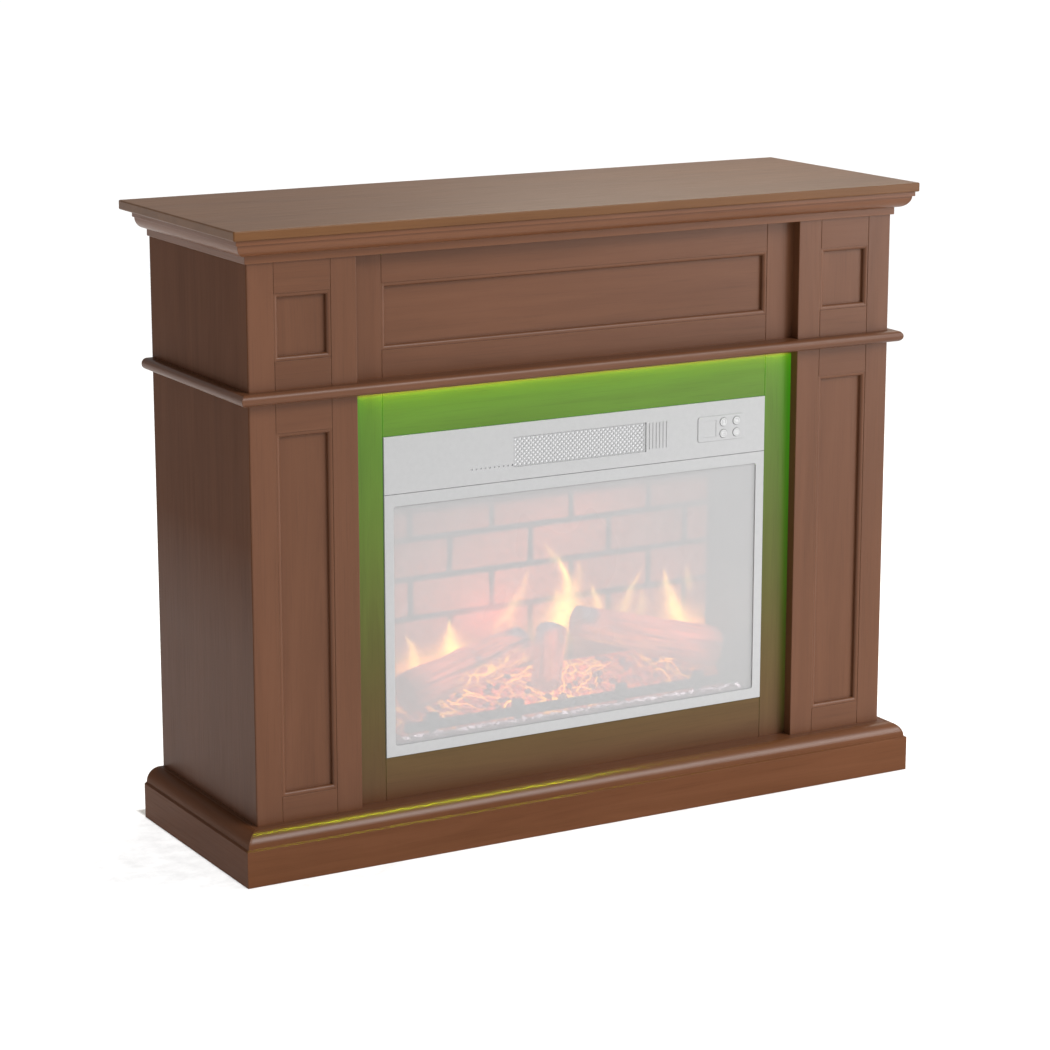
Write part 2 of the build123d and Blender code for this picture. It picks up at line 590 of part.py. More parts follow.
button_places = {
    "power_button": (BUTTON_XS[0], BUTTON_ZS[0]),
    "timer_button": (BUTTON_XS[1], BUTTON_ZS[0]),
    "flame_button": (BUTTON_XS[0], BUTTON_ZS[1]),
    "heat_button": (BUTTON_XS[1], BUTTON_ZS[1]),
}
for name, (button_x, button_z) in button_places.items():
    with BuildPart() as button:
        rod((button_x, BUTTON_FRONT, button_z), BUTTON_COLLAR[0], BUTTON_R, "y")
        fillet(button.faces().sort_by(Axis.Y)[0].edges(), BUTTON_ROUND)
        rod((button_x, BUTTON_COLLAR[0], button_z), BUTTON_COLLAR[1], BUTTON_R + BUTTON_COLLAR_OUT, "y")
        rod((button_x, BUTTON_COLLAR[1], button_z), BUTTON_STEM_END, BUTTON_STEM_R, "y")
    save(button, name)

with BuildPart() as control_board:
    board(PCB_X, (BOARD_FACE, BOARD_FACE + PCB_T), PCB_Z)
    for button_x in BUTTON_XS:
        for button_z in BUTTON_ZS:
            with Locations((button_x, BOARD_FACE - SWITCH_H / 2, button_z)):
                Box(SWITCH_W, SWITCH_H, SWITCH_W)
    module_x = (DISPLAY_X[0] - LED_MODULE_INSET, DISPLAY_X[1] + LED_MODULE_INSET)
    module_z = (DISPLAY_Z[0] + LED_MODULE_INSET, DISPLAY_Z[1] - LED_MODULE_INSET)
    board(module_x, (BOARD_FACE - LED_MODULE_T, BOARD_FACE), module_z)
    board(PLUG_X, (BOARD_FACE + PCB_T, BOARD_FACE + PCB_T + PLUG_DEEP), PLUG_Z)
    for post_x in (PCB_X[0] + POST_INSET, PCB_X[1] - POST_INSET):
        for post_z in (PCB_Z[0] + POST_INSET, PCB_Z[1] - POST_INSET):
            rod((post_x, INSERT_FRONT + SHEET, post_z), BOARD_FACE, POST_R, "y")
save(control_board, "control_board")

# ---------------------------------------------------------------- insert: housing
with BuildPart() as housing_shell:
    board((-CASE_X, CASE_X), (CASE_FRONT, CASE_BACK), CASE_Z)
    board(
        (-CASE_X + CASE_T, CASE_X - CASE_T),
        (CASE_FRONT, CASE_BACK - CASE_T),
        (CASE_Z[0] + CASE_T, CASE_Z[1] - CASE_T),
        mode=Mode.SUBTRACT,
    )
    board(
        (-CASE_X + CASE_FLANGE, CASE_X - CASE_FLANGE),
        (CASE_BACK - 2 * CASE_T, CASE_BACK),
        (CASE_Z[0] + CASE_FLANGE, CASE_Z[1] - CASE_FLANGE),
        mode=Mode.SUBTRACT,
    )
    for skid_x in (-SKID_X, SKID_X):
        skid = (skid_x - SKID_W / 2, skid_x + SKID_W / 2)
        board(skid, (LIP_BACK + SHEET, CASE_BACK - CASE_FLANGE), (INSERT_Z[0], CASE_Z[0]))
    low_row, middle_row, high_row = COVER_SCREW_Z
    cover_screws = [(sx, sz) for sx in (-COVER_SCREW_X, 0, COVER_SCREW_X) for sz in (low_row, high_row)]
    cover_screws += [(sx, middle_row) for sx in (-COVER_SCREW_X, COVER_SCREW_X)]
    for screw_x, screw_z in cover_screws:
        hole_front = CASE_BACK - CASE_T - OVERCUT
        rod((screw_x, hole_front, screw_z), CASE_BACK + OVERCUT, SCREW_HOLE_R, "y", Mode.SUBTRACT)
save(housing_shell, "housing_shell")

with BuildPart() as rear_cover:
    board((-CASE_X, CASE_X), (CASE_BACK, CASE_BACK + COVER_T), CASE_Z)
    for screw_x, screw_z in cover_screws:
        cover_outside = CASE_BACK + COVER_T + OVERCUT
        rod((screw_x, CASE_BACK - OVERCUT, screw_z), cover_outside, SCREW_HOLE_R, "y", Mode.SUBTRACT)
    gland_front = (GLAND_X, CASE_BACK - OVERCUT, GLAND_Z)
    rod(gland_front, cover_outside, GLAND_R - GLAND_NECK, "y", Mode.SUBTRACT)
    with BuildSketch(Plane.XZ.offset(-CASE_BACK)):
        with Locations([(0, louvre_z) for louvre_z in LOUVRE_ZS]):
            with GridLocations(1.3 * LOUVRE_L, LOUVRE_PITCH, LOUVRE_COLS, LOUVRE_ROWS):
                SlotOverall(LOUVRE_L, LOUVRE_H)
    extrude(amount=-COVER_T, mode=Mode.SUBTRACT)
save(rear_cover, "rear_cover")

with BuildPart() as pan_head_screws:
    bracket_seat = BODY_BACK + BRACKET_T
    seats = [(sx, bracket_seat, sz, WOOD_SCREW_L) for sx in BRACKET_XS for sz in BRACKET_SCREW_Z]
    seats += [(sx, CASE_BACK + COVER_T, sz, COVER_SCREW_L) for sx, sz in cover_screws]
    for screw_x, seat, screw_z, length in seats:
        rod((screw_x, seat, screw_z), seat + SCREW_HEAD_H, SCREW_HEAD_R, "y")
        rod((screw_x, seat - length, screw_z), seat, SCREW_R, "y")
save(pan_head_screws, "pan_head_screws")

with BuildPart() as cord_gland:
    seat = CASE_BACK + COVER_T
    neck_front = CASE_BACK - GLAND_NECK_L
    head_back = seat + GLAND_HEAD_H
    rod((GLAND_X, neck_front, GLAND_Z), seat, GLAND_R - GLAND_NECK - JOINT, "y")
    rod((GLAND_X, seat, GLAND_Z), head_back, GLAND_R, "y")
    fillet(cord_gland.faces().sort_by(Axis.Y)[-1].edges(), GLAND_ROUND)
    bore_front = (GLAND_X, neck_front - OVERCUT, GLAND_Z)
    rod(bore_front, head_back + OVERCUT, CORD_HOLE_R, "y", Mode.SUBTRACT)
save(cord_gland, "cord_gland")

# ---------------------------------------------------------------- insert: firebox
with BuildPart() as firebox_liner:
    board((-LINER_X, LINER_X), LINER_Y, LINER_Z)
    board(
        (-LINER_X + CASE_T, LINER_X - CASE_T),
        LINER_Y,
        (LINER_Z[0] + CASE_T, LINER_Z[1] - CASE_T),
        mode=Mode.SUBTRACT,
    )
save(firebox_liner, "firebox_liner")

with BuildPart() as brick_panel:
    board((-BRICK_X, BRICK_X), (BRICK_FACE, BRICK_FACE + BRICK_T), BRICK_Z)
    groove_y = (BRICK_FACE, BRICK_FACE + MORTAR_D)
    for row in range(BED_JOINTS):
        bed_z = FIRST_BED_JOINT + row * COURSE
        bed = (bed_z - MORTAR_W / 2, bed_z + MORTAR_W / 2)
        board((-BRICK_X, BRICK_X), groove_y, bed, mode=Mode.SUBTRACT)
    for row in range(BED_JOINTS + 1):
        foot = FIRST_BED_JOINT + (row - 1) * COURSE
        head = (max(foot, BRICK_Z[0]), min(foot + COURSE, BRICK_Z[1]))
        joint_x = HEAD_JOINTS_A if row % 2 else HEAD_JOINTS_B
        while joint_x < BRICK_X:
            width = (joint_x - MORTAR_W / 2, joint_x + MORTAR_W / 2)
            board(width, groove_y, head, mode=Mode.SUBTRACT)
            joint_x += BRICK_PITCH
save(brick_panel, "brick_panel")

with BuildPart() as grate:
    board((-BAR_X, BAR_X), BAR_Y, BAR_Z)
    fillet(grate.edges().filter_by(Axis.X), BAR_ROUND)
    post_z = (BAR_Z[1] - BAR_ROUND, BAR_Z[1] + GRATE_POST_UP)
    leg_z = (LINER_Z[0] + CASE_T, BAR_Z[0] + BAR_ROUND)
    for post_x in GRATE_POSTS:
        post = (post_x - GRATE_POST_W / 2, post_x + GRATE_POST_W / 2)
        leg = (post_x - GRATE_LEG_W / 2, post_x + GRATE_LEG_W / 2)
        board(post, (BAR_Y[0] + BAR_ROUND / 2, BAR_Y[1] - BAR_ROUND / 2), post_z)
        board(leg, (BAR_Y[0] + BAR_ROUND, BAR_Y[1] - BAR_ROUND), leg_z)
save(grate, "grate")

for name, shape in LOGS.items():
    with BuildPart() as log:
        log_shape(*shape)
        if name == "log_centre":
            for other in ("log_left", "log_right"):
                log_shape(*LOGS[other], grow=LOG_GAP, mode=Mode.SUBTRACT)
    save(log, name)

with BuildPart() as ember_bed:
    floor_z = LINER_Z[0] + CASE_T
    with BuildSketch(Plane.YZ):
        with BuildLine():
            front_y, back_y = BED_Y
            front_top, back_top = (front_y, floor_z + BED_FRONT_H), (back_y, floor_z + BED_BACK_H)
            Polyline(front_top, (front_y, floor_z), (back_y, floor_z), back_top)
            Spline(back_top, (BED_MID_Y, floor_z + BED_MID_H), front_top)
        make_face()
    extrude(amount=BED_X, both=True)
    strip_x = (-STRIP_X, STRIP_X)
    board(strip_x, STRIP_Y, (floor_z, floor_z + STRIP_H))
    board(strip_x, (STRIP_Y[1], BED_Y[0]), (floor_z, floor_z + STRIP_FLOOR_H))
    half_slot = GRATE_LEG_W / 2 + OVERCUT
    slot_z = (floor_z, floor_z + STRIP_FLOOR_H + OVERCUT)
    for post_x in GRATE_POSTS:
        board((post_x - half_slot, post_x + half_slot), BAR_Y, slot_z, mode=Mode.SUBTRACT)
    for shape in LOGS.values():
        log_shape(*shape, grow=LOG_GAP, mode=Mode.SUBTRACT)
save(ember_bed, "ember_bed")

# ---------------------------------------------------------------- insert: flame drive
with BuildPart() as flame_spindle:
    rod((SPINDLE_ENDS[0], SPINDLE_Y, SPINDLE_Z), SPINDLE_ENDS[1], SHAFT_R, "x")
    for flag in range(FLAGS):
        flag_x = FIRST_FLAG_X + flag * FLAG_PITCH
        with Locations((flag_x, SPINDLE_Y, SPINDLE_Z)):
            Box(FLAG_L, FLAG_W, FLAG_T, rotation=(flag * FLAG_TURN, 0, 0))
save(flame_spindle, "flame_spindle")

case_floor = CASE_Z[0] + CASE_T
with BuildPart() as spindle_bearings:
    for bearing_x in BEARING_XS:
        plate_x = (bearing_x - PLATE_T / 2, bearing_x + PLATE_T / 2)
        plate_y = (SPINDLE_Y - PLATE_HALF, SPINDLE_Y + PLATE_HALF)
        board(plate_x, plate_y, (case_floor, SPINDLE_Z + PLATE_ABOVE))
        board((plate_x[0], bearing_x + PLATE_FOOT), plate_y, (case_floor, case_floor + PLATE_T / 2))
        bore = (plate_x[0] - OVERCUT, SPINDLE_Y, SPINDLE_Z)
        rod(bore, plate_x[1] + OVERCUT, SHAFT_R + RUNNING_GAP, "x", Mode.SUBTRACT)
save(spindle_bearings, "spindle_bearings")

with BuildPart() as spindle_motor:
    rod((SPINDLE_MOTOR_X[0], SPINDLE_Y, SPINDLE_Z), SPINDLE_MOTOR_X[1], SPINDLE_MOTOR_R, "x")
    fillet(spindle_motor.edges().filter_by(GeomType.CIRCLE), MOTOR_ROUND)
    flange_x = (SPINDLE_MOTOR_X[1], SPINDLE_MOTOR_X[1] + BRACKET_T)
    flange_y = (SPINDLE_Y - SPINDLE_MOTOR_R, SPINDLE_Y + SPINDLE_MOTOR_R)
    board(flange_x, flange_y, (case_floor, SPINDLE_Z + PLATE_FOOT))
    shaft_end = SPINDLE_ENDS[1] + OVERCUT / 2
    rod((SPINDLE_MOTOR_X[0], SPINDLE_Y, SPINDLE_Z), shaft_end, SHAFT_R + RUNNING_GAP, "x", Mode.SUBTRACT)
save(spindle_motor, "spindle_motor")

with BuildPart() as flame_led_board:
    board_back = FLAME_BOARD_Y + PCB_T
    board(FLAME_BOARD_X, (FLAME_BOARD_Y, board_back), FLAME_BOARD_Z)
    led_y, led_z = FLAME_BOARD_Y - FLAME_LED_T / 2, sum(FLAME_BOARD_Z) / 2
    for led in range(FLAME_LEDS):
        with Locations((FIRST_FLAME_LED_X + led * FLAME_LED_PITCH, led_y, led_z)):
            Box(FLAME_LED_W, FLAME_LED_T, FLAME_LED_W)
    for post_x in FLAME_POST_XS:
        rod((post_x, board_back, led_z), CASE_BACK, FLAME_POST_R, "y")
save(flame_led_board, "flame_led_board")

# ---------------------------------------------------------------- insert: fan heater
with BuildPart() as heater_element:
    board((-HEATER_X, HEATER_X), HEATER_Y, HEATER_Z)
    slot_half = HEATER_X - HEATER_END
    for row in range(HEATER_ROWS):
        low = HEATER_Z[0] + HEATER_EDGE + row * HEATER_ROW_PITCH
        board((-slot_half, slot_half), HEATER_Y, (low, low + HEATER_ROW_H), mode=Mode.SUBTRACT)
    fin_y = (HEATER_Y[0] + OVERCUT, HEATER_Y[1] - OVERCUT)
    for fin in range(FINS):
        fin_x = (fin + 0.5) * 2 * slot_half / FINS - slot_half
        board((fin_x - FIN_T / 2, fin_x + FIN_T / 2), fin_y, HEATER_Z)
save(heater_element, "heater_element")

with BuildPart() as blower_housing:
    ends = FAN_HALF + FAN_END
    mouth_x = (-ends + FAN_WALL, ends - FAN_WALL)
    rod((-ends, FAN_Y, FAN_Z), ends, FAN_CASE_R, "x")
    rod((mouth_x[0], FAN_Y, FAN_Z), mouth_x[1], FAN_CASE_R - FAN_WALL, "x", Mode.SUBTRACT)
    rod((-ends - OVERCUT, FAN_Y, FAN_Z), ends + OVERCUT, SHAFT_R + RUNNING_GAP, "x", Mode.SUBTRACT)
    for mouth_y, mouth_z in ((FAN_OUTLET_Y, FAN_OUTLET_Z), (FAN_INLET_Y, FAN_INLET_Z)):
        across = (FAN_Y + mouth_y[0], FAN_Y + mouth_y[1])
        board(mouth_x, across, (FAN_Z + mouth_z[0], FAN_Z + mouth_z[1]), mode=Mode.SUBTRACT)
    foot_y = (FAN_Y - FAN_FOOT_T / 2, FAN_Y + FAN_FOOT_T / 2)
    foot_z = (LINER_Z[1], FAN_Z - FAN_CASE_R + FAN_WALL / 2)
    for foot_x in (-FAN_FOOT_X, FAN_FOOT_X):
        board((foot_x - FAN_FOOT_W / 2, foot_x + FAN_FOOT_W / 2), foot_y, foot_z)
save(blower_housing, "blower_housing")

with BuildPart() as blower_impeller:
    rod((-FAN_HALF - FAN_SHAFT_OUT, FAN_Y, FAN_Z), FAN_MOTOR_X[0] + FAN_BORE - OVERCUT, SHAFT_R, "x")
    for disc_x in (-FAN_HALF, -DISC_T / 2, FAN_HALF - DISC_T):
        rod((disc_x, FAN_Y, FAN_Z), disc_x + DISC_T, FAN_R, "x")
    with BuildSketch(Plane.YZ.offset(-FAN_HALF)):
        with Locations((FAN_Y, FAN_Z)):
            with PolarLocations(FAN_R - BLADE_IN, BLADES):
                Rectangle(BLADE_L, BLADE_T, rotation=BLADE_TURN)
    extrude(amount=2 * FAN_HALF)
save(blower_impeller, "blower_impeller")

with BuildPart() as blower_motor:
    rod((FAN_MOTOR_X[0], FAN_Y, FAN_Z), FAN_MOTOR_X[1], FAN_MOTOR_R, "x")
    fillet(blower_motor.edges().filter_by(GeomType.CIRCLE), FAN_MOTOR_ROUND)
    cradle_x = (FAN_MOTOR_X[0] + FAN_CRADLE_IN, FAN_MOTOR_X[1] - FAN_CRADLE_IN)
    cradle_y = (FAN_Y - FAN_CRADLE_HALF, FAN_Y + FAN_CRADLE_HALF)
    board(cradle_x, cradle_y, (LINER_Z[1], FAN_Z - FAN_CRADLE_TOP))
    bore = (FAN_MOTOR_X[0] - OVERCUT, FAN_Y, FAN_Z)
    rod(bore, FAN_MOTOR_X[0] + FAN_BORE, SHAFT_R + RUNNING_GAP, "x", Mode.SUBTRACT)
save(blower_motor, "blower_motor")
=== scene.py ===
import json
import math
import random

import bmesh
import bpy
import numpy as np
from mathutils import Matrix, Vector, noise
from mathutils.bvhtree import BVHTree


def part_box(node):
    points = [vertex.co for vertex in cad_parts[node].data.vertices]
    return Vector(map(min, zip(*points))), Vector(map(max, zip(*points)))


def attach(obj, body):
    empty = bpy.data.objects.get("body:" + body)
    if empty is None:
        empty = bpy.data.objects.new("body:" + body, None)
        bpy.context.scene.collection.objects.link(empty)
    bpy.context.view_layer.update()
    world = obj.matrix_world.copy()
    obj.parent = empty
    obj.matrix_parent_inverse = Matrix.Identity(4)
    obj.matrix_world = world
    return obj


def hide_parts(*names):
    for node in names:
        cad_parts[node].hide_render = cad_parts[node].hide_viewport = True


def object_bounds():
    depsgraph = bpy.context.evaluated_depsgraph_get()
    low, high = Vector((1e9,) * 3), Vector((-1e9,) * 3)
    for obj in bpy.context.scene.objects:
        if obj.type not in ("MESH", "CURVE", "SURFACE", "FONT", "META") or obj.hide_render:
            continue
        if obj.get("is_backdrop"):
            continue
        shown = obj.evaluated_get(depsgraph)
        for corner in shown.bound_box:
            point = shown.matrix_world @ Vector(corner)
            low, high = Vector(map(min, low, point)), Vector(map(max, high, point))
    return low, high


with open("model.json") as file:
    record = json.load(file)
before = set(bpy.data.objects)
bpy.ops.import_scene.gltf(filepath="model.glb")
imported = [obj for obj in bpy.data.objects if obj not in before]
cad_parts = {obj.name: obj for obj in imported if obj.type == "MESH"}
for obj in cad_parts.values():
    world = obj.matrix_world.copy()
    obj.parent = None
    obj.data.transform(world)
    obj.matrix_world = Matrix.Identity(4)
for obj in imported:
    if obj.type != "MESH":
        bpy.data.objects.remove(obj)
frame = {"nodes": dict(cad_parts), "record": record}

cad_low, cad_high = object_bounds()
nodes = frame["nodes"]
scene = bpy.context.scene
ROOT = "mantel_and_insert"
MM = 0.001


# ---------------------------------------------------------------- material helpers
def start_material(name):
    """A new Principled material and its node tree."""
    made = bpy.data.materials.new(name)
    made.use_nodes = True
    return made, made.node_tree, made.node_tree.nodes["Principled BSDF"]


def node(tree, kind, settings=None, **values):
    """A node with its properties and unlinked input values set."""
    made = tree.nodes.new(kind)
    for key, value in (settings or {}).items():
        setattr(made, key, value)
    for key, value in values.items():
        made.inputs[key.replace("_", " ")].default_value = value
    return made


def coordinates(tree, stretch):
    """Object coordinates scaled per axis."""
    place = tree.nodes.new("ShaderNodeTexCoord")
    scaled = tree.nodes.new("ShaderNodeMapping")
    scaled.inputs["Scale"].default_value = stretch
    tree.links.new(place.outputs["Object"], scaled.inputs["Vector"])
    return scaled.outputs["Vector"]


def noise_field(tree, vector, scale, detail=6.0, rough=0.55, twist=0.0):
    """Noise between 0 and 1 over a vector."""
    field = node(tree, "ShaderNodeTexNoise", Scale=scale, Detail=detail, Roughness=rough, Distortion=twist)
    tree.links.new(vector, field.inputs["Vector"])
    return field.outputs["Fac"]


def remap(tree, value, low, high, to_low, to_high):
    """Carries a value from one range over to another, and holds it at the ends."""
    change = tree.nodes.new("ShaderNodeMapRange")
    for place, number in zip((1, 2, 3, 4), (low, high, to_low, to_high)):
        change.inputs[place].default_value = number
    tree.links.new(value, change.inputs[0])
    return change.outputs[0]


def ramp(tree, value, stops):
    """Colour ramp through (position, rgb) stops."""
    made = tree.nodes.new("ShaderNodeValToRGB")
    band = made.color_ramp
    while len(band.elements) < len(stops):
        band.elements.new(0.5)
    for element, (place, colour) in zip(band.elements, stops):
        element.position = place
        element.color = (*colour, 1.0)
    tree.links.new(value, made.inputs["Fac"])
    return made.outputs["Color"]


def blend_colour(tree, factor, first, second, mode="MIX"):
    """Mix of two colours; the factor and the colours are sockets or plain values."""
    made = tree.nodes.new("ShaderNodeMix")
    made.data_type = "RGBA"
    made.blend_type = mode
    for socket, value in ((made.inputs[0], factor), (made.inputs[6], first), (made.inputs[7], second)):
        if isinstance(value, (int, float)):
            socket.default_value = value
        elif isinstance(value, tuple):
            socket.default_value = (*value, 1.0)
        else:
            tree.links.new(value, socket)
    return made.outputs[2]


def eased_normal(tree, radius):
    """The surface normal, rounded off along the edges."""
    return node(tree, "ShaderNodeBevel", {"samples": 4}, Radius=radius).outputs["Normal"]


def bump(tree, shader, height, depth, strength=1.0, base_normal=None):
    """Bump of the given depth in metres, over an optional eased normal."""
    made = node(tree, "ShaderNodeBump", Strength=strength, Distance=depth)
    tree.links.new(height, made.inputs["Height"])
    if base_normal:
        tree.links.new(base_normal, made.inputs["Normal"])
    tree.links.new(made.outputs["Normal"], shader.inputs["Normal"])


def edge_highlight_mask(tree, eased, gain):
    """0 on flat faces, towards 1 where the eased normal leaves the true one: the mask of the highlight
    painted along edges.
    """
    true_normal = tree.nodes.new("ShaderNodeNewGeometry")
    dot = tree.nodes.new("ShaderNodeVectorMath")
    dot.operation = "DOT_PRODUCT"
    tree.links.new(eased, dot.inputs[0])
    tree.links.new(true_normal.outputs["Normal"], dot.inputs[1])
    return remap(tree, dot.outputs["Value"], 1.0, 1.0 - 1.0 / gain, 0.0, 1.0)


def crack_lines(tree, vector, scale, width, wander):
    """1 along a wandering network of cracks, 0 between them."""
    drift = node(tree, "ShaderNodeTexNoise", Scale=scale * 0.6, Detail=3.0)
    tree.links.new(vector, drift.inputs["Vector"])
    moved = tree.nodes.new("ShaderNodeVectorMath")
    moved.operation = "MULTIPLY_ADD"
    tree.links.new(drift.outputs["Color"], moved.inputs[0])
    moved.inputs[1].default_value = (wander, wander, wander)
    tree.links.new(vector, moved.inputs[2])
    cells = node(tree, "ShaderNodeTexVoronoi", {"feature": "DISTANCE_TO_EDGE"}, Scale=scale)
    tree.links.new(moved.outputs[0], cells.inputs["Vector"])
    return remap(tree, cells.outputs["Distance"], width * 0.35, width, 1.0, 0.0)


# how far the edges of steel and wood are rounded off, and the scale that leaves coordinates as they are
STEEL_EDGE, WOOD_EDGE = 0.6 * MM, 0.8 * MM
MODEL_SPACE = (1, 1, 1)


def by_height(tree, plain, low, high, low_value, high_value):
    """A value that changes between two heights above the floor."""
    split = tree.nodes.new("ShaderNodeSeparateXYZ")
    tree.links.new(plain, split.inputs[0])
    return remap(tree, split.outputs["Z"], low, high, low_value, high_value)


def finish(
    name, dark, light, rough, scale, depth, metallic=0.0, stretch=MODEL_SPACE,
    specular=0.5, coat=0.0, edge=None, speck=0.86, shade=None,
):
    """A mottled finish: two tones, uneven gloss and a fine relief, depth metres deep.

    edge is the tone of a painted highlight along the edges, and speck the brightness of the darkest flecks.
    shade is by_height's range for painted shade, which darkens or lightens the tones by height.
    """
    made, tree, shader = start_material(name)
    vector = coordinates(tree, stretch)
    broad = noise_field(tree, vector, scale * 0.12, 4.0)
    fine = noise_field(tree, vector, scale, 8.0, 0.65)
    colour = ramp(tree, broad, ((0.3, dark), (0.7, light)))
    flecks = ramp(tree, fine, ((0.32, (speck, speck, speck)), (0.62, (1.0, 1.0, 1.0))))
    colour = blend_colour(tree, 1.0, colour, flecks, "MULTIPLY")
    if edge:
        # painted highlight: the tone is lighter along the rounded edges
        highlit_edge = edge_highlight_mask(tree, eased_normal(tree, STEEL_EDGE), 2.2)
        colour = blend_colour(tree, highlit_edge, colour, edge)
    # painted shade: the tones grow lighter or darker with height
    if shade:
        tone = by_height(tree, coordinates(tree, MODEL_SPACE), *shade)
        colour = blend_colour(tree, 1.0, colour, tone, "MULTIPLY")
    tree.links.new(colour, shader.inputs["Base Color"])
    tree.links.new(remap(tree, fine, 0.3, 0.7, rough - 0.06, rough + 0.08), shader.inputs["Roughness"])
    bump(tree, shader, fine, depth)
    shader.inputs["Metallic"].default_value = metallic
    shader.inputs["Specular IOR Level"].default_value = specular
    shader.inputs["Coat Weight"].default_value = coat
    return made


# ---------------------------------------------------------------- walnut
GRAIN_ALONG, GRAIN_ACROSS = 1.0, 15.0
PORES_ALONG, PORES_ACROSS = 3.0, 160.0
PORE_DEPTH = 0.00012
WALNUT_DARK = (0.096, 0.035, 0.0140)
WALNUT_MID = (0.110, 0.0415, 0.0175)
WALNUT_LIGHT = (0.124, 0.048, 0.0215)
WALNUT_EDGE_HIGHLIGHT = (0.20, 0.095, 0.052)
PLINTH_TOP = 0.082

# the strip's green light painted on the surround as a glow, and painted shade that darkens the wood under it,
# from the plinth's top up to the light strip
PAINTED_WASH_STRENGTH = 5.2
PAINTED_WASH_STOPS = (
    (0.00, (0.0, 0.0, 0.0)),
    (0.06, (0.0, 0.075, 0.0)),
    (0.26, (0.0, 0.20, 0.0)),
    (0.50, (0.0, 0.45, 0.0)),
    (0.81, (0.0, 0.80, 0.0)),
    (0.985, (0.0, 1.0, 0.0)),
    (0.99, (0.0, 0.0, 0.0)),
)
PAINTED_SHADE_STOPS = (
    (0.00, (0.84, 0.86, 0.80)),
    (0.45, (0.72, 0.72, 0.72)),
    (0.98, (0.62, 0.62, 0.62)),
    (0.99, (1.0, 1.0, 1.0)),
)


def walnut(
    axis, variant="", tint=(1.0, 1.0, 1.0), specular=0.24, coat=0.04, coat_rough=0.25,
    lit_below=None, polish=None, coat_from=None,
):
    """Stained satin walnut whose grain runs along one axis.

    lit_below paints shade that darkens the wood below a height and paints the strip's green light there as a
    glow, strongest at the top. polish is by_height's range for the gloss. coat_from is the height from which
    the coat starts.
    """
    made, tree, shader = start_material(f"walnut_grain_{axis}{variant}")
    long_grain = coordinates(tree, tuple(GRAIN_ALONG if name == axis else GRAIN_ACROSS for name in "xyz"))
    plain = coordinates(tree, MODEL_SPACE)
    pores_vector = coordinates(tree, tuple(PORES_ALONG if name == axis else PORES_ACROSS for name in "xyz"))
    figure = noise_field(tree, long_grain, 1.7, 7.0, 0.6, 0.9)
    cloud = noise_field(tree, plain, 2.6, 3.0)
    pores = noise_field(tree, pores_vector, 3.2, 5.0, 0.7)
    colour = ramp(tree, figure, ((0.28, WALNUT_DARK), (0.5, WALNUT_MID), (0.74, WALNUT_LIGHT)))
    shade = ramp(tree, cloud, ((0.3, (0.94, 0.935, 0.93)), (0.7, (1.05, 1.05, 1.05))))
    colour = blend_colour(tree, 1.0, colour, shade, "MULTIPLY")
    colour = blend_colour(tree, 1.0, colour, tint, "MULTIPLY")
    streak = ramp(tree, pores, ((0.34, (0.80, 0.79, 0.78)), (0.48, (1.0, 1.0, 1.0))))
    colour = blend_colour(tree, 0.6, colour, streak, "MULTIPLY")
    eased = eased_normal(tree, WOOD_EDGE)
    # painted highlight: a lighter tone along the rounded edges
    colour = blend_colour(tree, edge_highlight_mask(tree, eased, 2.6), colour, WALNUT_EDGE_HIGHLIGHT)
    if lit_below:
        # painted green light of the strip, and painted shade, below the moulding
        height = by_height(tree, plain, PLINTH_TOP, lit_below, 0.0, 1.0)
        green = blend_colour(tree, 1.0, colour, ramp(tree, height, PAINTED_WASH_STOPS), "MULTIPLY")
        tree.links.new(green, shader.inputs["Emission Color"])
        shader.inputs["Emission Strength"].default_value = PAINTED_WASH_STRENGTH
        colour = blend_colour(tree, 1.0, colour, ramp(tree, height, PAINTED_SHADE_STOPS), "MULTIPLY")
    tree.links.new(colour, shader.inputs["Base Color"])
    tree.links.new(remap(tree, pores, 0.3, 0.65, 0.46, 0.34), shader.inputs["Roughness"])
    shader.inputs["Specular IOR Level"].default_value = specular
    if polish:
        tree.links.new(by_height(tree, plain, *polish), shader.inputs["Specular IOR Level"])
    shader.inputs["Coat Weight"].default_value = coat
    shader.inputs["Coat Roughness"].default_value = coat_rough
    if coat_from:
        coated = by_height(tree, plain, coat_from, coat_from + MM, 0.0, coat)
        tree.links.new(coated, shader.inputs["Coat Weight"])
        tree.links.new(eased_normal(tree, 5 * MM), shader.inputs["Coat Normal"])
    bump(tree, shader, pores, PORE_DEPTH, 0.55, eased)
    return made


wood = {axis: walnut(axis) for axis in "xyz"}
moulding_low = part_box("mid_moulding_front")[0].z
# copies with the strip's green light and shade painted in, for the surround's front faces
painted_wash_wood = {axis: walnut(axis, "_painted_wash", lit_below=moulding_low) for axis in "xz"}
SURROUND = ("surround_stile_left", "surround_stile_right", "header_rail", "bottom_rail")
# painted sheen: the top's copy of the walnut is lighter and warmer
lit_top_wood = walnut("x", "_top", tint=(1.13, 1.25, 0.95), specular=0.17)
# painted shade: the side panels' copy of the walnut is darker
shaded_side_wood = walnut("z", "_side", tint=(0.85, 0.85, 0.88), coat=0.0, polish=(0.34, 0.52, 0.085, 0.02))
# painted shade: the plinth ends' copy of the walnut is a little darker
shaded_end_wood = walnut("y", "_end", tint=(0.92, 0.90, 0.88), specular=0.04, coat=0.0)
glossy_wood = walnut("x", "_glossy", specular=0.07, coat=0.34, coat_rough=0.27, coat_from=0.066)
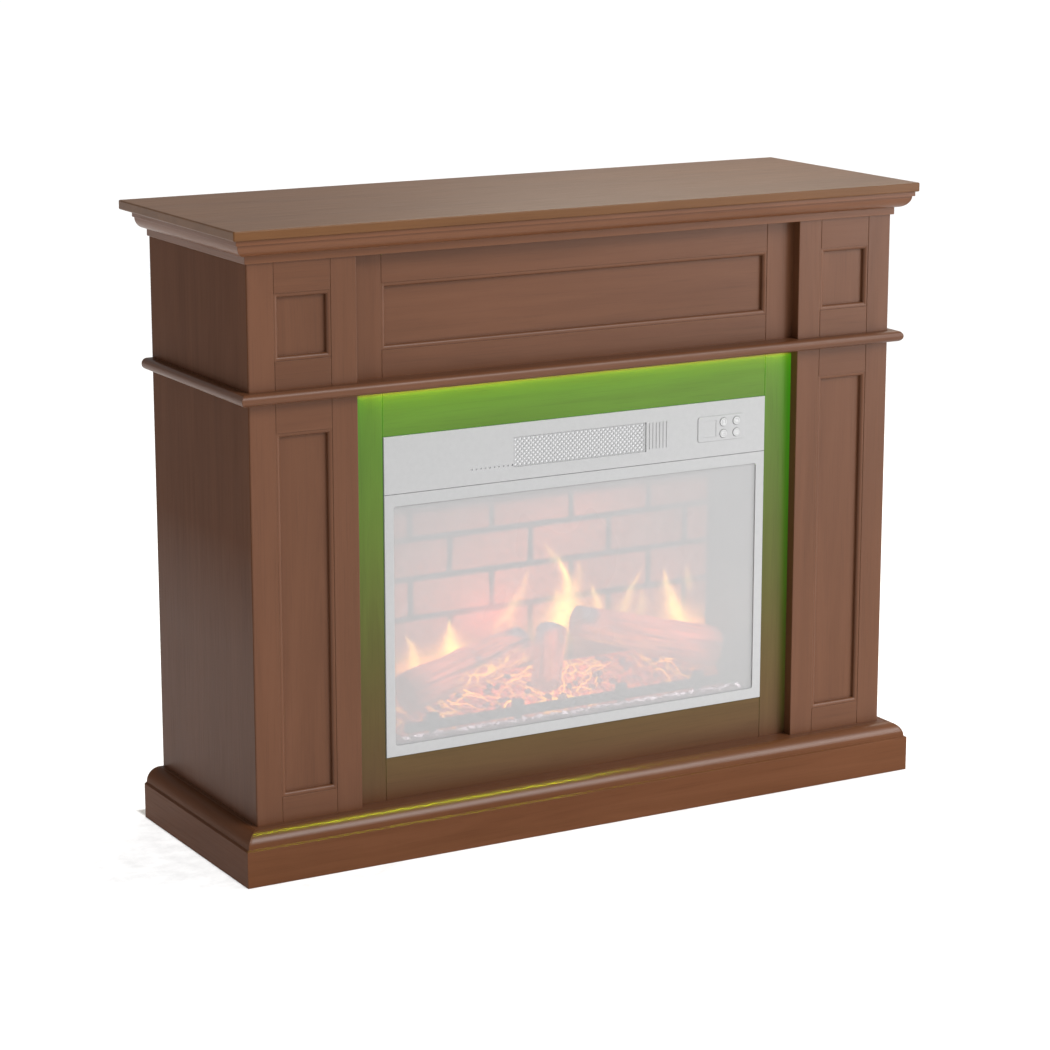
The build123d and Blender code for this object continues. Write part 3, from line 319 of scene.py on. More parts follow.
# painted light: the crown, which faces down and forward, takes a lighter copy of the walnut
lit_crown_wood = {axis: walnut(axis, "_crown_painted_light", tint=(1.22, 1.20, 1.12)) for axis in "xy"}
VARIANTS = {
    "shelf_top": lit_top_wood,
    "side_panel_left": shaded_side_wood,
    "side_panel_right": shaded_side_wood,
    "plinth_front": glossy_wood,
    "plinth_left": shaded_end_wood,
    "plinth_right": shaded_end_wood,
    "crown_front": lit_crown_wood["x"],
    "crown_left": lit_crown_wood["y"],
    "crown_right": lit_crown_wood["y"],
}


# ---------------------------------------------------------------- other finishes
def milky_glass():
    """Pale translucent pane; its two faces together let about a fifth of the light through."""
    made, tree, shader = start_material("milky_glass")
    haze = noise_field(tree, coordinates(tree, MODEL_SPACE), 3.0, 3.0)
    colour = ramp(tree, haze, ((0.3, (0.528, 0.528, 0.532)), (0.7, (0.543, 0.543, 0.547))))
    tree.links.new(colour, shader.inputs["Base Color"])
    tree.links.new(remap(tree, haze, 0.3, 0.7, 0.26, 0.34), shader.inputs["Roughness"])
    shader.inputs["Alpha"].default_value = 0.53
    shader.inputs["Specular IOR Level"].default_value = 0.22
    return made


def glowing(name, dark, light, glow_dark, glow_light, strength, scale, rough, depth):
    """A surface that also gives off light, uneven in both."""
    made, tree, shader = start_material(name)
    fine = noise_field(tree, coordinates(tree, MODEL_SPACE), scale, 7.0, 0.6)
    tree.links.new(ramp(tree, fine, ((0.3, dark), (0.7, light))), shader.inputs["Base Color"])
    tree.links.new(ramp(tree, fine, ((0.38, glow_dark), (0.66, glow_light))), shader.inputs["Emission Color"])
    shader.inputs["Emission Strength"].default_value = strength
    tree.links.new(remap(tree, fine, 0.3, 0.7, rough, rough + 0.15), shader.inputs["Roughness"])
    bump(tree, shader, fine, depth)
    return made


def attribute_glow(name, attribute, dark, light, scale, rough, depth, veins=None):
    """A surface whose own light is stored point by point in its mesh.

    veins is the cell scale, width and colour of glowing cracks, which show where the stored alpha says so.
    """
    made, tree, shader = start_material(name)
    vector = coordinates(tree, MODEL_SPACE)
    fine = noise_field(tree, vector, scale, 8.0, 0.65)
    tree.links.new(ramp(tree, fine, ((0.3, dark), (0.7, light))), shader.inputs["Base Color"])
    stored = node(tree, "ShaderNodeAttribute", {"attribute_name": attribute})
    grit = ramp(tree, fine, ((0.3, (0.72, 0.70, 0.70)), (0.6, (1.1, 1.1, 1.1))))
    lit = blend_colour(tree, 1.0, stored.outputs["Color"], grit, "MULTIPLY")
    if veins:
        cell, width, colour = veins
        cracks = crack_lines(tree, vector, cell, width, 0.034)
        patches = remap(tree, noise_field(tree, vector, cell * 0.5, 2.0), 0.40, 0.62, 0.15, 1.0)
        for share in (patches, stored.outputs["Alpha"]):
            product = node(tree, "ShaderNodeMath", {"operation": "MULTIPLY"})
            tree.links.new(cracks, product.inputs[0])
            tree.links.new(share, product.inputs[1])
            cracks = product.outputs[0]
        lit = blend_colour(tree, cracks, lit, colour)
    tree.links.new(lit, shader.inputs["Emission Color"])
    shader.inputs["Emission Strength"].default_value = 1.0
    tree.links.new(remap(tree, fine, 0.3, 0.7, rough, rough + 0.12), shader.inputs["Roughness"])
    bump(tree, shader, fine, depth)
    return made


# the pale tones, and the tone of the painted highlight along the edges
PALE, PALE_LIGHT, PALE_EDGE_HIGHLIGHT = (0.382, 0.382, 0.386), (0.398, 0.398, 0.402), (0.42, 0.42, 0.425)
PALE_SPECK = 0.96
# painted shade for the pale faces
PALE_SHADE = (0.16, 0.64, 1.07, 0.965)  # by_height's range: a little darker towards the top
finishes = {
    "raw_board": finish(
        "raw_fibreboard", (0.34, 0.235, 0.14), (0.46, 0.33, 0.205),
        rough=0.78, scale=420, depth=0.00012, specular=0.2,
    ),
    "insert_face": finish(
        "pale_powder_coat", PALE, PALE_LIGHT,
        rough=0.46, scale=900, depth=0.00004, specular=0.25,
        edge=PALE_EDGE_HIGHLIGHT, speck=PALE_SPECK, shade=PALE_SHADE,
    ),
    "front_glass": milky_glass(),
    # painted light: the gauze glows to lighten the shade seen through the outlet's holes
    "gauze": glowing(
        "pale_gauze_painted_glow", (0.48, 0.48, 0.485), (0.52, 0.52, 0.525), (0.86, 0.86, 0.87), (1, 1, 1),
        strength=0.36, scale=1500, rough=0.7, depth=0.00004,
    ),
    "control_face": finish(
        "pale_panel_plastic", PALE, PALE_LIGHT,
        rough=0.40, scale=1100, depth=0.00003, specular=0.3, speck=PALE_SPECK, shade=PALE_SHADE,
    ),
    "button": finish(
        "pale_button_plastic", (0.326, 0.326, 0.330), (0.342, 0.342, 0.346),
        rough=0.36, scale=900, depth=0.00002, specular=0.25, speck=PALE_SPECK,
    ),
    "circuit_board": finish(
        "green_solder_mask", (0.016, 0.10, 0.038), (0.03, 0.17, 0.065),
        rough=0.35, scale=700, depth=0.00005, coat=0.3,
    ),
    "zinc_steel": finish(
        "zinc_plated_steel", (0.42, 0.43, 0.44), (0.60, 0.61, 0.62),
        rough=0.36, scale=60, depth=0.00004, metallic=1.0, stretch=(1, 1, 7),
    ),
    "black_steel": finish(
        "matt_black_steel", (0.010, 0.010, 0.010), (0.020, 0.019, 0.019),
        rough=0.62, scale=600, depth=0.00006, specular=0.25,
    ),
    "mirror_flags": finish(
        "polished_aluminium", (0.78, 0.78, 0.79), (0.86, 0.86, 0.87),
        rough=0.16, scale=120, depth=0.00002, metallic=1.0, stretch=(9, 1, 1),
    ),
    "motor": finish(
        "grey_motor_case", (0.15, 0.15, 0.155), (0.22, 0.22, 0.225),
        rough=0.42, scale=300, depth=0.00006, metallic=0.6,
    ),
    "heater_fins": finish(
        "plain_aluminium", (0.52, 0.52, 0.54), (0.66, 0.66, 0.68),
        rough=0.38, scale=160, depth=0.00004, metallic=1.0,
    ),
    "blower_black": finish(
        "moulded_black_plastic", (0.018, 0.018, 0.018), (0.034, 0.034, 0.035),
        rough=0.44, scale=800, depth=0.00005,
    ),
    "led_cover": glowing(
        "lit_green_cover", (0.3, 0.5, 0.1), (0.4, 0.7, 0.2), (0.34, 0.95, 0.06), (0.5, 1.0, 0.12),
        strength=1.6, scale=40, rough=0.3, depth=0.00003,
    ),
    "rubber": finish(
        "black_rubber", (0.014, 0.014, 0.014), (0.026, 0.026, 0.026),
        rough=0.66, scale=500, depth=0.00008, specular=0.3,
    ),
    "controller_case": finish(
        "white_case_plastic", (0.70, 0.70, 0.69), (0.80, 0.80, 0.79),
        rough=0.36, scale=700, depth=0.00003,
    ),
}
VARIANTS["outlet_grille"] = finish(
    "pale_mesh_steel", (0.345, 0.345, 0.349), (0.360, 0.360, 0.364),
    rough=0.52, scale=900, depth=0.00004, specular=0.15, speck=PALE_SPECK,
)
VEIN_LIGHT = (2.7, 1.15, 0.06)
brick_material = attribute_glow(
    "fired_brick", "wall_glow", (0.030, 0.010, 0.007), (0.075, 0.022, 0.014),
    scale=150, rough=0.8, depth=0.0006,
)
bark_material = attribute_glow(
    "charred_bark", "bark_glow", (0.022, 0.010, 0.008), (0.070, 0.028, 0.020),
    scale=210, rough=0.7, depth=0.0007, veins=(40, 0.10, VEIN_LIGHT),
)
bed_material = attribute_glow(
    "glowing_bed", "bed_glow", (0.020, 0.006, 0.005), (0.065, 0.016, 0.012),
    scale=260, rough=0.6, depth=0.0006, veins=(46, 0.12, VEIN_LIGHT),
)
coal_material = glowing(
    "dark_coal", (0.012, 0.008, 0.008), (0.04, 0.025, 0.025), (0.10, 0.02, 0.03), (0.55, 0.10, 0.08),
    strength=0.9, scale=160, rough=0.5, depth=0.0005,
)
vein_material = glowing(
    "glowing_twig", (0.4, 0.12, 0.02), (0.7, 0.35, 0.05), (1.0, 0.26, 0.02), (1.0, 0.52, 0.04),
    strength=2.7, scale=90, rough=0.5, depth=0.0003,
)
crystal_material = glowing(
    "ember_crystal", (0.10, 0.06, 0.09), (0.5, 0.45, 0.5), (0.10, 0.03, 0.06), (1.0, 0.85, 0.92),
    strength=1.5, scale=95, rough=0.12, depth=0.0002,
)
# painted light: the symbols glow faintly so they stand out from the buttons
icon_material = glowing(
    "white_marking_painted_glow", (0.86, 0.86, 0.86), (0.92, 0.92, 0.92), (0.92, 0.92, 0.92), (1, 1, 1),
    strength=0.22, scale=600, rough=0.45, depth=0.00001,
)

# ---------------------------------------------------------------- finishes on the CAD nodes
ALONG_X = (
    "shelf_top", "crown_front", "frieze_top_rail", "frieze_panel", "header_rail", "bottom_rail",
    "mid_moulding_front", "plinth_front", "base_board",
)
ALONG_Y = ("crown_left", "crown_right", "mid_moulding_returns", "plinth_left", "plinth_right")

for entry in frame["record"]["subparts"]:
    name, slot = entry["node"], entry["material_slot"]
    mesh = nodes[name].data
    mesh.materials.clear()
    if slot == "walnut_finish":
        axis = "x" if name in ALONG_X else "y" if name in ALONG_Y else "z"
        mesh.materials.append(VARIANTS.get(name) or wood[axis])
        if name in SURROUND:
            mesh.materials.append(painted_wash_wood[axis])
            # the front faces take the copy with the painted green light and painted shade
            for face in mesh.polygons:
                face.material_index = 1 if face.normal.y < -0.5 else 0
    elif slot in finishes:
        mesh.materials.append(VARIANTS.get(name) or finishes[slot])
    else:
        mesh.materials.append(brick_material)

# the short rails of the pilaster frames run across, between the stiles
for side in ("left", "right"):
    mesh = nodes[f"pilaster_frame_{side}"].data
    mesh.materials.append(wood["x"])
    panel_low, panel_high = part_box(f"pilaster_lower_panel_{side}")
    for face in mesh.polygons:
        if panel_low.x - MM < face.center.x < panel_high.x + MM:
            face.material_index = 1


# ---------------------------------------------------------------- mesh helpers
def piece(name, points, faces, material, body, stands_for=(), smooth=True):
    """A new mesh piece that rides on a body and carries a finish."""
    mesh = bpy.data.meshes.new(name)
    mesh.from_pydata([tuple(point) for point in points], [], [tuple(face) for face in faces])
    tidy = bmesh.new()
    tidy.from_mesh(mesh)
    bmesh.ops.recalc_face_normals(tidy, faces=tidy.faces)
    tidy.to_mesh(mesh)
    tidy.free()
    mesh.polygons.foreach_set("use_smooth", [smooth] * len(mesh.polygons))
    mesh.materials.append(material)
    made = bpy.data.objects.new(name, mesh)
    scene.collection.objects.link(made)
    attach(made, body)
    if stands_for:
        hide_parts(*stands_for)
    return made


def store_glow(made, attribute, colours, veins=0.0):
    """Writes one linear colour and one share of glowing cracks for each vertex."""
    layer = made.data.attributes.new(attribute, "FLOAT_COLOR", "POINT")
    flat = np.ones((len(made.data.vertices), 4), np.float32)
    flat[:, :3] = colours
    flat[:, 3] = veins
    layer.data.foreach_set("color", flat.ravel())


def remeshed(name, voxel):
    """Even mesh over a CAD node's shape, as (points, normals, faces)."""
    copy = bpy.data.objects.new("remesh_source", nodes[name].data.copy())
    scene.collection.objects.link(copy)
    change = copy.modifiers.new("even", "REMESH")
    change.mode = "VOXEL"
    change.voxel_size = voxel
    bpy.context.view_layer.update()
    even = bpy.data.meshes.new_from_object(copy.evaluated_get(bpy.context.evaluated_depsgraph_get()))
    points = np.array([vertex.co for vertex in even.vertices], float)
    normals = np.array([vertex.normal for vertex in even.vertices], float)
    faces = [tuple(face.vertices) for face in even.polygons]
    bpy.data.objects.remove(copy)
    return points, normals, faces


def smooth_step(value, low, high):
    """0 below low, 1 above high, eased between them."""
    share = np.clip((value - low) / (high - low), 0, 1)
    return share * share * (3 - 2 * share)


def field(points, scale, offset=0.0):
    """Noise between -1 and 1 at each point."""
    shift = Vector((offset, offset * 1.7, offset * 0.6))
    return np.array([noise.noise(Vector(point) * scale + shift) for point in points])


def grid_faces(columns, rows):
    """The square faces between points that run row by row."""
    wide = columns + 1
    corners = [row * wide + column for row in range(rows) for column in range(columns)]
    return [(corner, corner + 1, corner + wide + 1, corner + wide) for corner in corners]


# ---------------------------------------------------------------- brick wall with the flame picture
wall_low, wall_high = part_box("brick_panel")
COURSE, BRICK_PITCH, MORTAR = 65 * MM, 149 * MM, 9 * MM
FIRST_BED, ODD_HEAD, EVEN_HEAD = 199 * MM, -231 * MM, -308 * MM
BRICK_CORNER = 0.009
RELIEF = 3.2 * MM
RAGGED_EDGE, ROUGH_FACE, PITS = 1.4 * MM, 0.5 * MM, 2.2 * MM
WALL_STEP = 2.6 * MM
WALL_SHADOW = 0.504

# flames on the wall: foot and tip as (across, up) in metres, sideways bend, half width, heat
FLAMES = {
    "far_left": ((-0.226, 0.243), (-0.240, 0.306), 0.005, 0.011, 0.62),
    "left_skirt": ((-0.150, 0.235), (-0.176, 0.300), 0.004, 0.030, 0.34),
    "left": ((-0.143, 0.250), (-0.160, 0.320), -0.006, 0.014, 1.00),
    "left_wisp": ((-0.070, 0.296), (-0.012, 0.392), 0.012, 0.011, 0.30),
    "left_curl": ((-0.040, 0.285), (-0.034, 0.352), -0.010, 0.009, 0.22),
    "tall_skirt": ((0.026, 0.250), (0.034, 0.350), 0.012, 0.034, 0.36),
    "tall_centre": ((0.034, 0.262), (0.044, 0.402), 0.022, 0.021, 1.05),
    "tall_tip": ((0.056, 0.372), (0.014, 0.430), 0.002, 0.009, 0.34),
    "centre_wisp": ((0.079, 0.340), (0.082, 0.394), 0.004, 0.006, 0.26),
    "centre_right": ((0.122, 0.286), (0.104, 0.348), 0.004, 0.010, 0.62),
    "right_wisp": ((0.160, 0.262), (0.212, 0.366), -0.008, 0.012, 0.42),
    "right_curl": ((0.196, 0.268), (0.204, 0.330), 0.006, 0.010, 0.26),
    "right_skirt": ((0.282, 0.250), (0.262, 0.318), -0.004, 0.024, 0.36),
    "right": ((0.284, 0.262), (0.250, 0.358), -0.010, 0.015, 0.66),
    "far_right": ((0.300, 0.316), (0.294, 0.356), 0.002, 0.006, 0.26),
}
FLAME_CORE, FLAME_SKIN = np.array((2.4, 1.75, 0.30)), np.array((1.7, 0.56, 0.05))
BRICK_LIGHT = np.array((0.80, 0.165, 0.080))
FAINT_LIGHT = 0.28

# pools of firelight on the bricks: centre and reach as (across, up) in metres, strength
FIRELIGHT = (
    ((-0.09, 0.36), (0.17, 0.10), 0.95),
    ((0.05, 0.46), (0.13, 0.055), 0.62),
    ((0.22, 0.33), (0.12, 0.08), 0.40),
)

# glowing spots at the two ends of the bed and a red haze left of the tall flame: centre, reach, colour
GLOW_SPOTS = (
    ((-0.200, 0.246), (0.075, 0.024), (1.9, 0.62, 0.05)),
    ((0.285, 0.246), (0.055, 0.024), (1.9, 0.62, 0.05)),
    ((-0.085, 0.315), (0.060, 0.040), (0.95, 0.06, 0.02)),
)


def soft_spot(x, z, centre, reach):
    """1 at a centre on the wall, fading out around it."""
    return np.exp(-(((x - centre[0]) / reach[0]) ** 2) - ((z - centre[1]) / reach[1]) ** 2)


def wall_noise(x, z, scale, layer):
    """Noise between -1 and 1 at a place on the wall; each layer has its own pattern."""
    return noise.noise(Vector((x * scale, layer, z * scale)))


def brick_cell(x, z):
    """Distance to the nearest mortar centre line, and the brick's own number."""
    row = math.floor((z - FIRST_BED) / COURSE) + 1
    first = ODD_HEAD if row % 2 else EVEN_HEAD
    column = math.floor((x - first) / BRICK_PITCH)
    across = (x - first) - column * BRICK_PITCH
    up = (z - FIRST_BED) - (row - 1) * COURSE
    edge_x, edge_z = min(across, BRICK_PITCH - across), min(up, COURSE - up)
    if edge_x < BRICK_CORNER and edge_z < BRICK_CORNER:
        near = BRICK_CORNER - math.hypot(BRICK_CORNER - edge_x, BRICK_CORNER - edge_z)
    else:
        near = min(edge_x, edge_z)
    return near, row * 31 + column * 7


def brick_face(x, z):
    """How deep the wall's face lies at a place, and the colour of its glow."""
    near, number = brick_cell(x, z)
    ragged = wall_noise(x, z, 60, 0.3) * RAGGED_EDGE
    body = float(smooth_step(near + ragged, MORTAR * 0.40, MORTAR * 0.74))
    pit = max(0.0, wall_noise(x, z, 85, 5.1) - 0.35) * PITS
    lift = RELIEF * (0.12 + 0.88 * body) + wall_noise(x, z, 190, 1.7) * ROUGH_FACE - pit * body
    inset = min(max(RELIEF - lift, 0.0), RELIEF)

    light = FAINT_LIGHT
    for centre, reach, strength in FIRELIGHT:
        light += strength * soft_spot(x, z, centre, reach)
    light *= 1.0 - 0.97 * float(smooth_step(z, WALL_SHADOW - 0.010, WALL_SHADOW + 0.006))
    tone = 0.82 + 0.36 * (noise.noise(Vector((number * 0.73, 2.2, 0.5))) + 0.5)
    grain = 1.0 + 0.35 * wall_noise(x, z, 120, 9.0)
    return inset, BRICK_LIGHT * light * tone * grain * (0.02 + 0.98 * body)


def flame_light(points):
    """The glow of the painted flames at points on the wall."""
    across, up = points[:, 0], points[:, 2]
    flat = points * (1, 0, 1)
    ripple = field(flat, 22.0, 3.0) * 0.006 + field(flat, 60.0, 8.0) * 0.0022
    light = np.zeros_like(points)
    for foot, tip, bend, half, heat in FLAMES.values():
        share = (up - foot[1]) / (tip[1] - foot[1])
        inside = np.clip(share, 0, 1)
        middle = foot[0] + (tip[0] - foot[0]) * inside + bend * np.sin(inside * math.pi)
        belly = 0.55 + 1.1 * np.sin(np.clip(inside + 0.12, 0, 1) * math.pi)
        width = half * (1.0 - inside) ** 0.7 * belly + 0.0008
        off = (across + ripple - middle) / width
        fade = smooth_step(share, -0.35, 0.12) * (1 - smooth_step(share, 0.82, 1.04))
        core = np.exp(-(off / 0.72) ** 2) * fade * heat
        skin = np.exp(-(off / 1.6) ** 2) * fade * heat
        light += core[:, None] * FLAME_CORE * 0.72 + skin[:, None] * FLAME_SKIN * 0.55
    for centre, reach, colour in GLOW_SPOTS:
        light += np.outer(soft_spot(across, up, centre, reach), colour)
    return light


columns = int((wall_high.x - wall_low.x) / WALL_STEP)
rows = int((wall_high.z - wall_low.z) / WALL_STEP)
xs = np.linspace(wall_low.x, wall_high.x, columns + 1)
zs = np.linspace(wall_low.z, wall_high.z, rows + 1)
wall_points, wall_glow = [], []
for z in zs:
    for x in xs:
        inset, glow = brick_face(x, z)
        wall_points.append((x, wall_low.y + inset, z))
        wall_glow.append(glow)
front_count = len(wall_points)
wall_glow = np.array(wall_glow) + flame_light(np.array(wall_points))
wall_glow = np.vstack((wall_glow, np.zeros_like(wall_glow)))

# a flat back and a closed rim
wall_points += [(x, wall_high.y, z) for z in zs for x in xs]
wall_faces = grid_faces(columns, rows)
wall_faces += [tuple(corner + front_count for corner in reversed(face)) for face in wall_faces]
wide = columns + 1
rim = list(range(wide))
rim += [row * wide + columns for row in range(1, rows + 1)]
rim += [rows * wide + column for column in range(columns - 1, -1, -1)]
rim += [row * wide for row in range(rows - 1, 0, -1)]
for here, there in zip(rim, rim[1:] + rim[:1]):
    wall_faces.append((here, here + front_count, there + front_count, there))
brick_wall = piece(
    "brick_wall_relief", wall_points, wall_faces, brick_material, ROOT, ("brick_panel",)
)
store_glow(brick_wall, "wall_glow", wall_glow)

# ---------------------------------------------------------------- logs
LOG_VOXEL = 2.4 * MM
BARK_LIGHT = np.array((1.30, 0.27, 0.15))
CHAR_LIGHT = np.array((0.30, 0.20, 0.22)) * 1.2
CRACK_LIGHT = (0.55, 0.09, 0.01)
LOW_SIDE_LIGHT = (0.50, 0.07, 0.01)
PLATE_SCALE, FIBRE_SCALE, LUMP_SCALE, CHAR_SCALE = 62.0, 230.0, 22.0, 34.0
UNROLLED_RADIUS = 0.06
BARK_LOWEST, BARK_HIGHEST = -8.0, 0.6
KNOT_PLACE, KNOT_ANGLE = 0.47, -1.3


def bark(name, number):
    """Replaces a log by one with rough, partly charred and glowing bark. Depths are in millimetres."""
    points, normals, faces = remeshed(name, LOG_VOXEL)
    offsets = points - points.mean(0)
    spread = np.linalg.eigh(np.cov(offsets.T))[1]
    axis = spread[:, -1] * np.sign(spread[0, -1] if name != "log_centre" else spread[2, -1])
    side = np.cross(axis, (0, 1, 0))
    side /= np.linalg.norm(side)
    up = np.cross(side, axis)
    along = offsets @ axis
    angle = np.arctan2(offsets @ up, offsets @ side)
    radius = np.hypot(offsets @ up, offsets @ side)
    reach = (along - along.min()) / (along.max() - along.min())
    tip_share = 1.0 - reach if name == "log_right" else reach
    on_side = np.abs(normals @ axis) < 0.75

    # plates and fibres, both drawn out along the log
    around = (np.cos(angle) * UNROLLED_RADIUS, np.sin(angle) * UNROLLED_RADIUS)
    plates = field(np.stack((*around, along * 0.20), 1), PLATE_SCALE, 4.0 + number)
    fibres = field(np.stack((*around, along * 0.07), 1), FIBRE_SCALE, 9.0 + number)
    ridges = 1.0 - np.abs(plates) * 2.0
    lumps = field(points, LUMP_SCALE, 6.0 + number)
    char_patches = field(points, CHAR_SCALE, 11.0 + number)
    charred = smooth_step(tip_share + 0.55 * char_patches + 0.20 * fibres, 0.66, 1.06)
    charred *= smooth_step(normals[:, 2], -0.2, 0.5)

    depth = (ridges * 1.9 + fibres * 0.9) * (1 - 0.55 * charred) + lumps * 2.4
    depth = np.where(on_side, depth, lumps * 1.2 + fibres * 0.4) - 2.6
    knot = np.exp(-(((reach - KNOT_PLACE) / 0.05) ** 2) - ((angle - KNOT_ANGLE) / 0.32) ** 2)
    depth += 3.2 * np.sin(np.clip(knot, 0, 1) * math.pi) - 1.4 * knot
    shaped = points + normals * (np.clip(depth, BARK_LOWEST, BARK_HIGHEST) * MM)[:, None]
    made = piece(f"{name}_bark", shaped, faces, bark_material, ROOT, (name,))

    # glow: bright ridges, growth rings on the cut ends, hot cracks, and a hot underside near the fire
    lit = np.clip(0.22 + 0.75 * (ridges * 0.5 + 0.35) + 0.60 * fibres, 0.04, 1.7)
    # painted light: the glow is brighter where the bark faces up and towards the front
    lit *= np.clip(0.80 + 0.45 * normals[:, 2] - 0.15 * normals[:, 1], 0.25, 1.4)
    rings = 0.75 + 0.45 * np.sin(radius * 900)
    lit = np.where(on_side, lit, 0.55 * rings)
    glow = lit[:, None] * (BARK_LIGHT * (1 - charred[:, None]) + CHAR_LIGHT * charred[:, None])
    glow += np.outer(smooth_step(-plates, 0.30, 0.52) * (1 - charred), CRACK_LIGHT)
    low_side = smooth_step(0.42 - normals[:, 2], 0.0, 0.6) * smooth_step(-normals[:, 1], -0.2, 0.3)
    near_fire = smooth_step(tip_share, 0.30, 0.48) * (1 - smooth_step(tip_share, 0.84, 1.0))
    near_fire *= 0.25 if name == "log_right" else 1.0
    glow += np.outer(low_side * near_fire, LOW_SIDE_LIGHT)
    if name != "log_centre":
        glow *= 1 - 0.62 * smooth_step(1 - tip_share, 0.76, 1.0)[:, None]
    store_glow(made, "bark_glow", glow, low_side * near_fire)


for number, name in enumerate(("log_left", "log_centre", "log_right")):
    bark(name, number)

# ---------------------------------------------------------------- ember bed
BED_VOXEL = 2.6 * MM
SEAM_LIGHT, BED_LIGHT, ASH_LIGHT = (1.1, 0.16, 0.03), (2.3, 0.22, 0.09), (0.16, 0.04, 0.07)
bed_low, bed_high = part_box("ember_bed")
points, normals, faces = remeshed("ember_bed", BED_VOXEL)
lump = field(points, 58.0, 2.0)
small = field(points, 150.0, 7.0)
upward = np.clip(normals[:, 2], 0, 1)
lift = (np.abs(lump) * 3.4 + small * 1.0 - 2.4) * upward * MM
shaped = points + np.outer(lift, (0, 0, 1.0))
made = piece("ember_bed_surface", shaped, faces, bed_material, ROOT, ("ember_bed",))
bed_tree = BVHTree.FromPolygons([Vector(point) for point in shaped], faces)
seam = smooth_step(0.16 - np.abs(lump), 0.02, 0.15)
hot = 0.16 + 0.84 * np.exp(-((points[:, 0] + 0.02) / 0.24) ** 2)
behind_bar = smooth_step(points[:, 1] - bed_low.y, 0.022, 0.038)
glow = np.outer(seam * hot * behind_bar, SEAM_LIGHT)
glow += np.outer((0.42 + 0.40 * small) * hot * behind_bar, BED_LIGHT)
glow += np.outer((1 - behind_bar) * (0.5 + 0.5 * small), ASH_LIGHT)
patchy = smooth_step(field(points, 17.0, 21.0), -0.35, 0.15)
store_glow(made, "bed_glow", glow, patchy * hot * behind_bar)


def bed_height(x, y):
    """Height of the ember bed's surface under a point, or None."""
    place = bed_tree.ray_cast(Vector((x, y, bed_high.z + 0.05)), Vector((0, 0, -1)))[0]
    return place.z if place else None


rng = random.Random(71)
BED_X = (bed_low.x + 0.03, bed_high.x - 0.03)
BED_Y = (bed_low.y + 0.036, bed_high.y - 0.008)
COALS, TWIGS, CRYSTALS = 64, 30, 230
# smallest and largest, and the step along a twig, in millimetres
COAL_SIZE, TWIG_RADIUS, CRYSTAL_SIZE = (4.0, 7.5), (0.9, 1.7), (1.8, 4.2)
TWIG_STEP = 7.5


def add_blob(points, faces, centre, size, seed, bumps, flat=1.0):
    """Adds a lumpy pebble to the lists of points and faces."""
    ball = bmesh.new()
    bmesh.ops.create_icosphere(ball, subdivisions=2, radius=1.0)
    base = len(points)
    for vertex in ball.verts:
        direction = vertex.co.copy()
        grown = 1.0 + bumps * noise.noise(direction * 1.9 + Vector((seed, seed * 0.7, 0)))
        place = direction * grown * size
        points.append((centre[0] + place.x, centre[1] + place.y, centre[2] + place.z * flat))
    faces += [tuple(base + vertex.index for vertex in face.verts) for face in ball.faces]
    ball.free()


coal_points, coal_faces = [], []
for coal in range(COALS):
    x, y = rng.uniform(*BED_X), rng.uniform(*BED_Y)
    z = bed_height(x, y)
    if z is not None:
        size = rng.uniform(*COAL_SIZE) * MM
        add_blob(coal_points, coal_faces, (x, y, z), size, coal * 1.37, 0.55, 0.8)
piece("ember_coals", coal_points, coal_faces, coal_material, ROOT)


def add_tube(points, faces, path, radii, sides=6):
    """Adds a closed tube that follows a path, with a radius at each point."""
    base = len(points)
    for step, place in enumerate(path):
        ahead = path[min(step + 1, len(path) - 1)] - path[max(step - 1, 0)]
        turn = ahead.to_track_quat("Z", "Y")
        for corner in range(sides):
            angle = corner / sides * 2 * math.pi
            spoke = turn @ Vector((math.cos(angle), math.sin(angle), 0)) * radii[step]
            points.append(tuple(place + spoke))
    for step in range(len(path) - 1):
        for corner in range(sides):
            first = base + step * sides + corner
            second = base + step * sides + (corner + 1) % sides
            faces.append((first, second, second + sides, first + sides))
    faces.append(tuple(base + corner for corner in reversed(range(sides))))
    faces.append(tuple(base + (len(path) - 1) * sides + corner for corner in range(sides)))


twig_points, twig_faces = [], []
for _ in range(TWIGS):
    x, y = rng.uniform(BED_X[0], BED_X[1] - 0.06), rng.uniform(*BED_Y)
    heading, path = rng.uniform(-0.5, 0.5), []
    for _ in range(rng.randint(7, 15)):
        z = bed_height(x, y)
        if z is None or not BED_Y[0] < y < BED_Y[1] or x > BED_X[1]:
            break
        path.append(Vector((x, y, z + rng.uniform(1.0, 3.5) * MM)))
        heading += rng.uniform(-0.9, 0.9)
        heading *= 0.8
        x += math.cos(heading) * TWIG_STEP * MM
        y += math.sin(heading) * TWIG_STEP * MM
    if len(path) > 3:
        thick = rng.uniform(*TWIG_RADIUS) * MM
        radii = [thick * (1.0 - 0.75 * step / len(path)) for step in range(len(path))]
        add_tube(twig_points, twig_faces, path, radii)

# one twig is a ring that stands on the bed, left of its middle
RING_RADIUS, RING_DEPTH, RING_THICK, RING_STEPS = 10 * MM, 2 * MM, 1.9 * MM, 24
ring_x, ring_y = -0.104, bed_low.y + 0.034
ring_z = (bed_height(ring_x, ring_y) or bed_high.z) + 8 * MM
ring = []
for step in range(RING_STEPS + 1):
    turn = step / RING_STEPS * 2 * math.pi
    across, up = math.cos(turn), math.sin(turn)
    ring.append(Vector((ring_x + RING_RADIUS * across, ring_y + RING_DEPTH * up, ring_z + RING_RADIUS * up)))
add_tube(twig_points, twig_faces, ring, [RING_THICK] * len(ring))
piece("ember_twigs", twig_points, twig_faces, vein_material, ROOT)

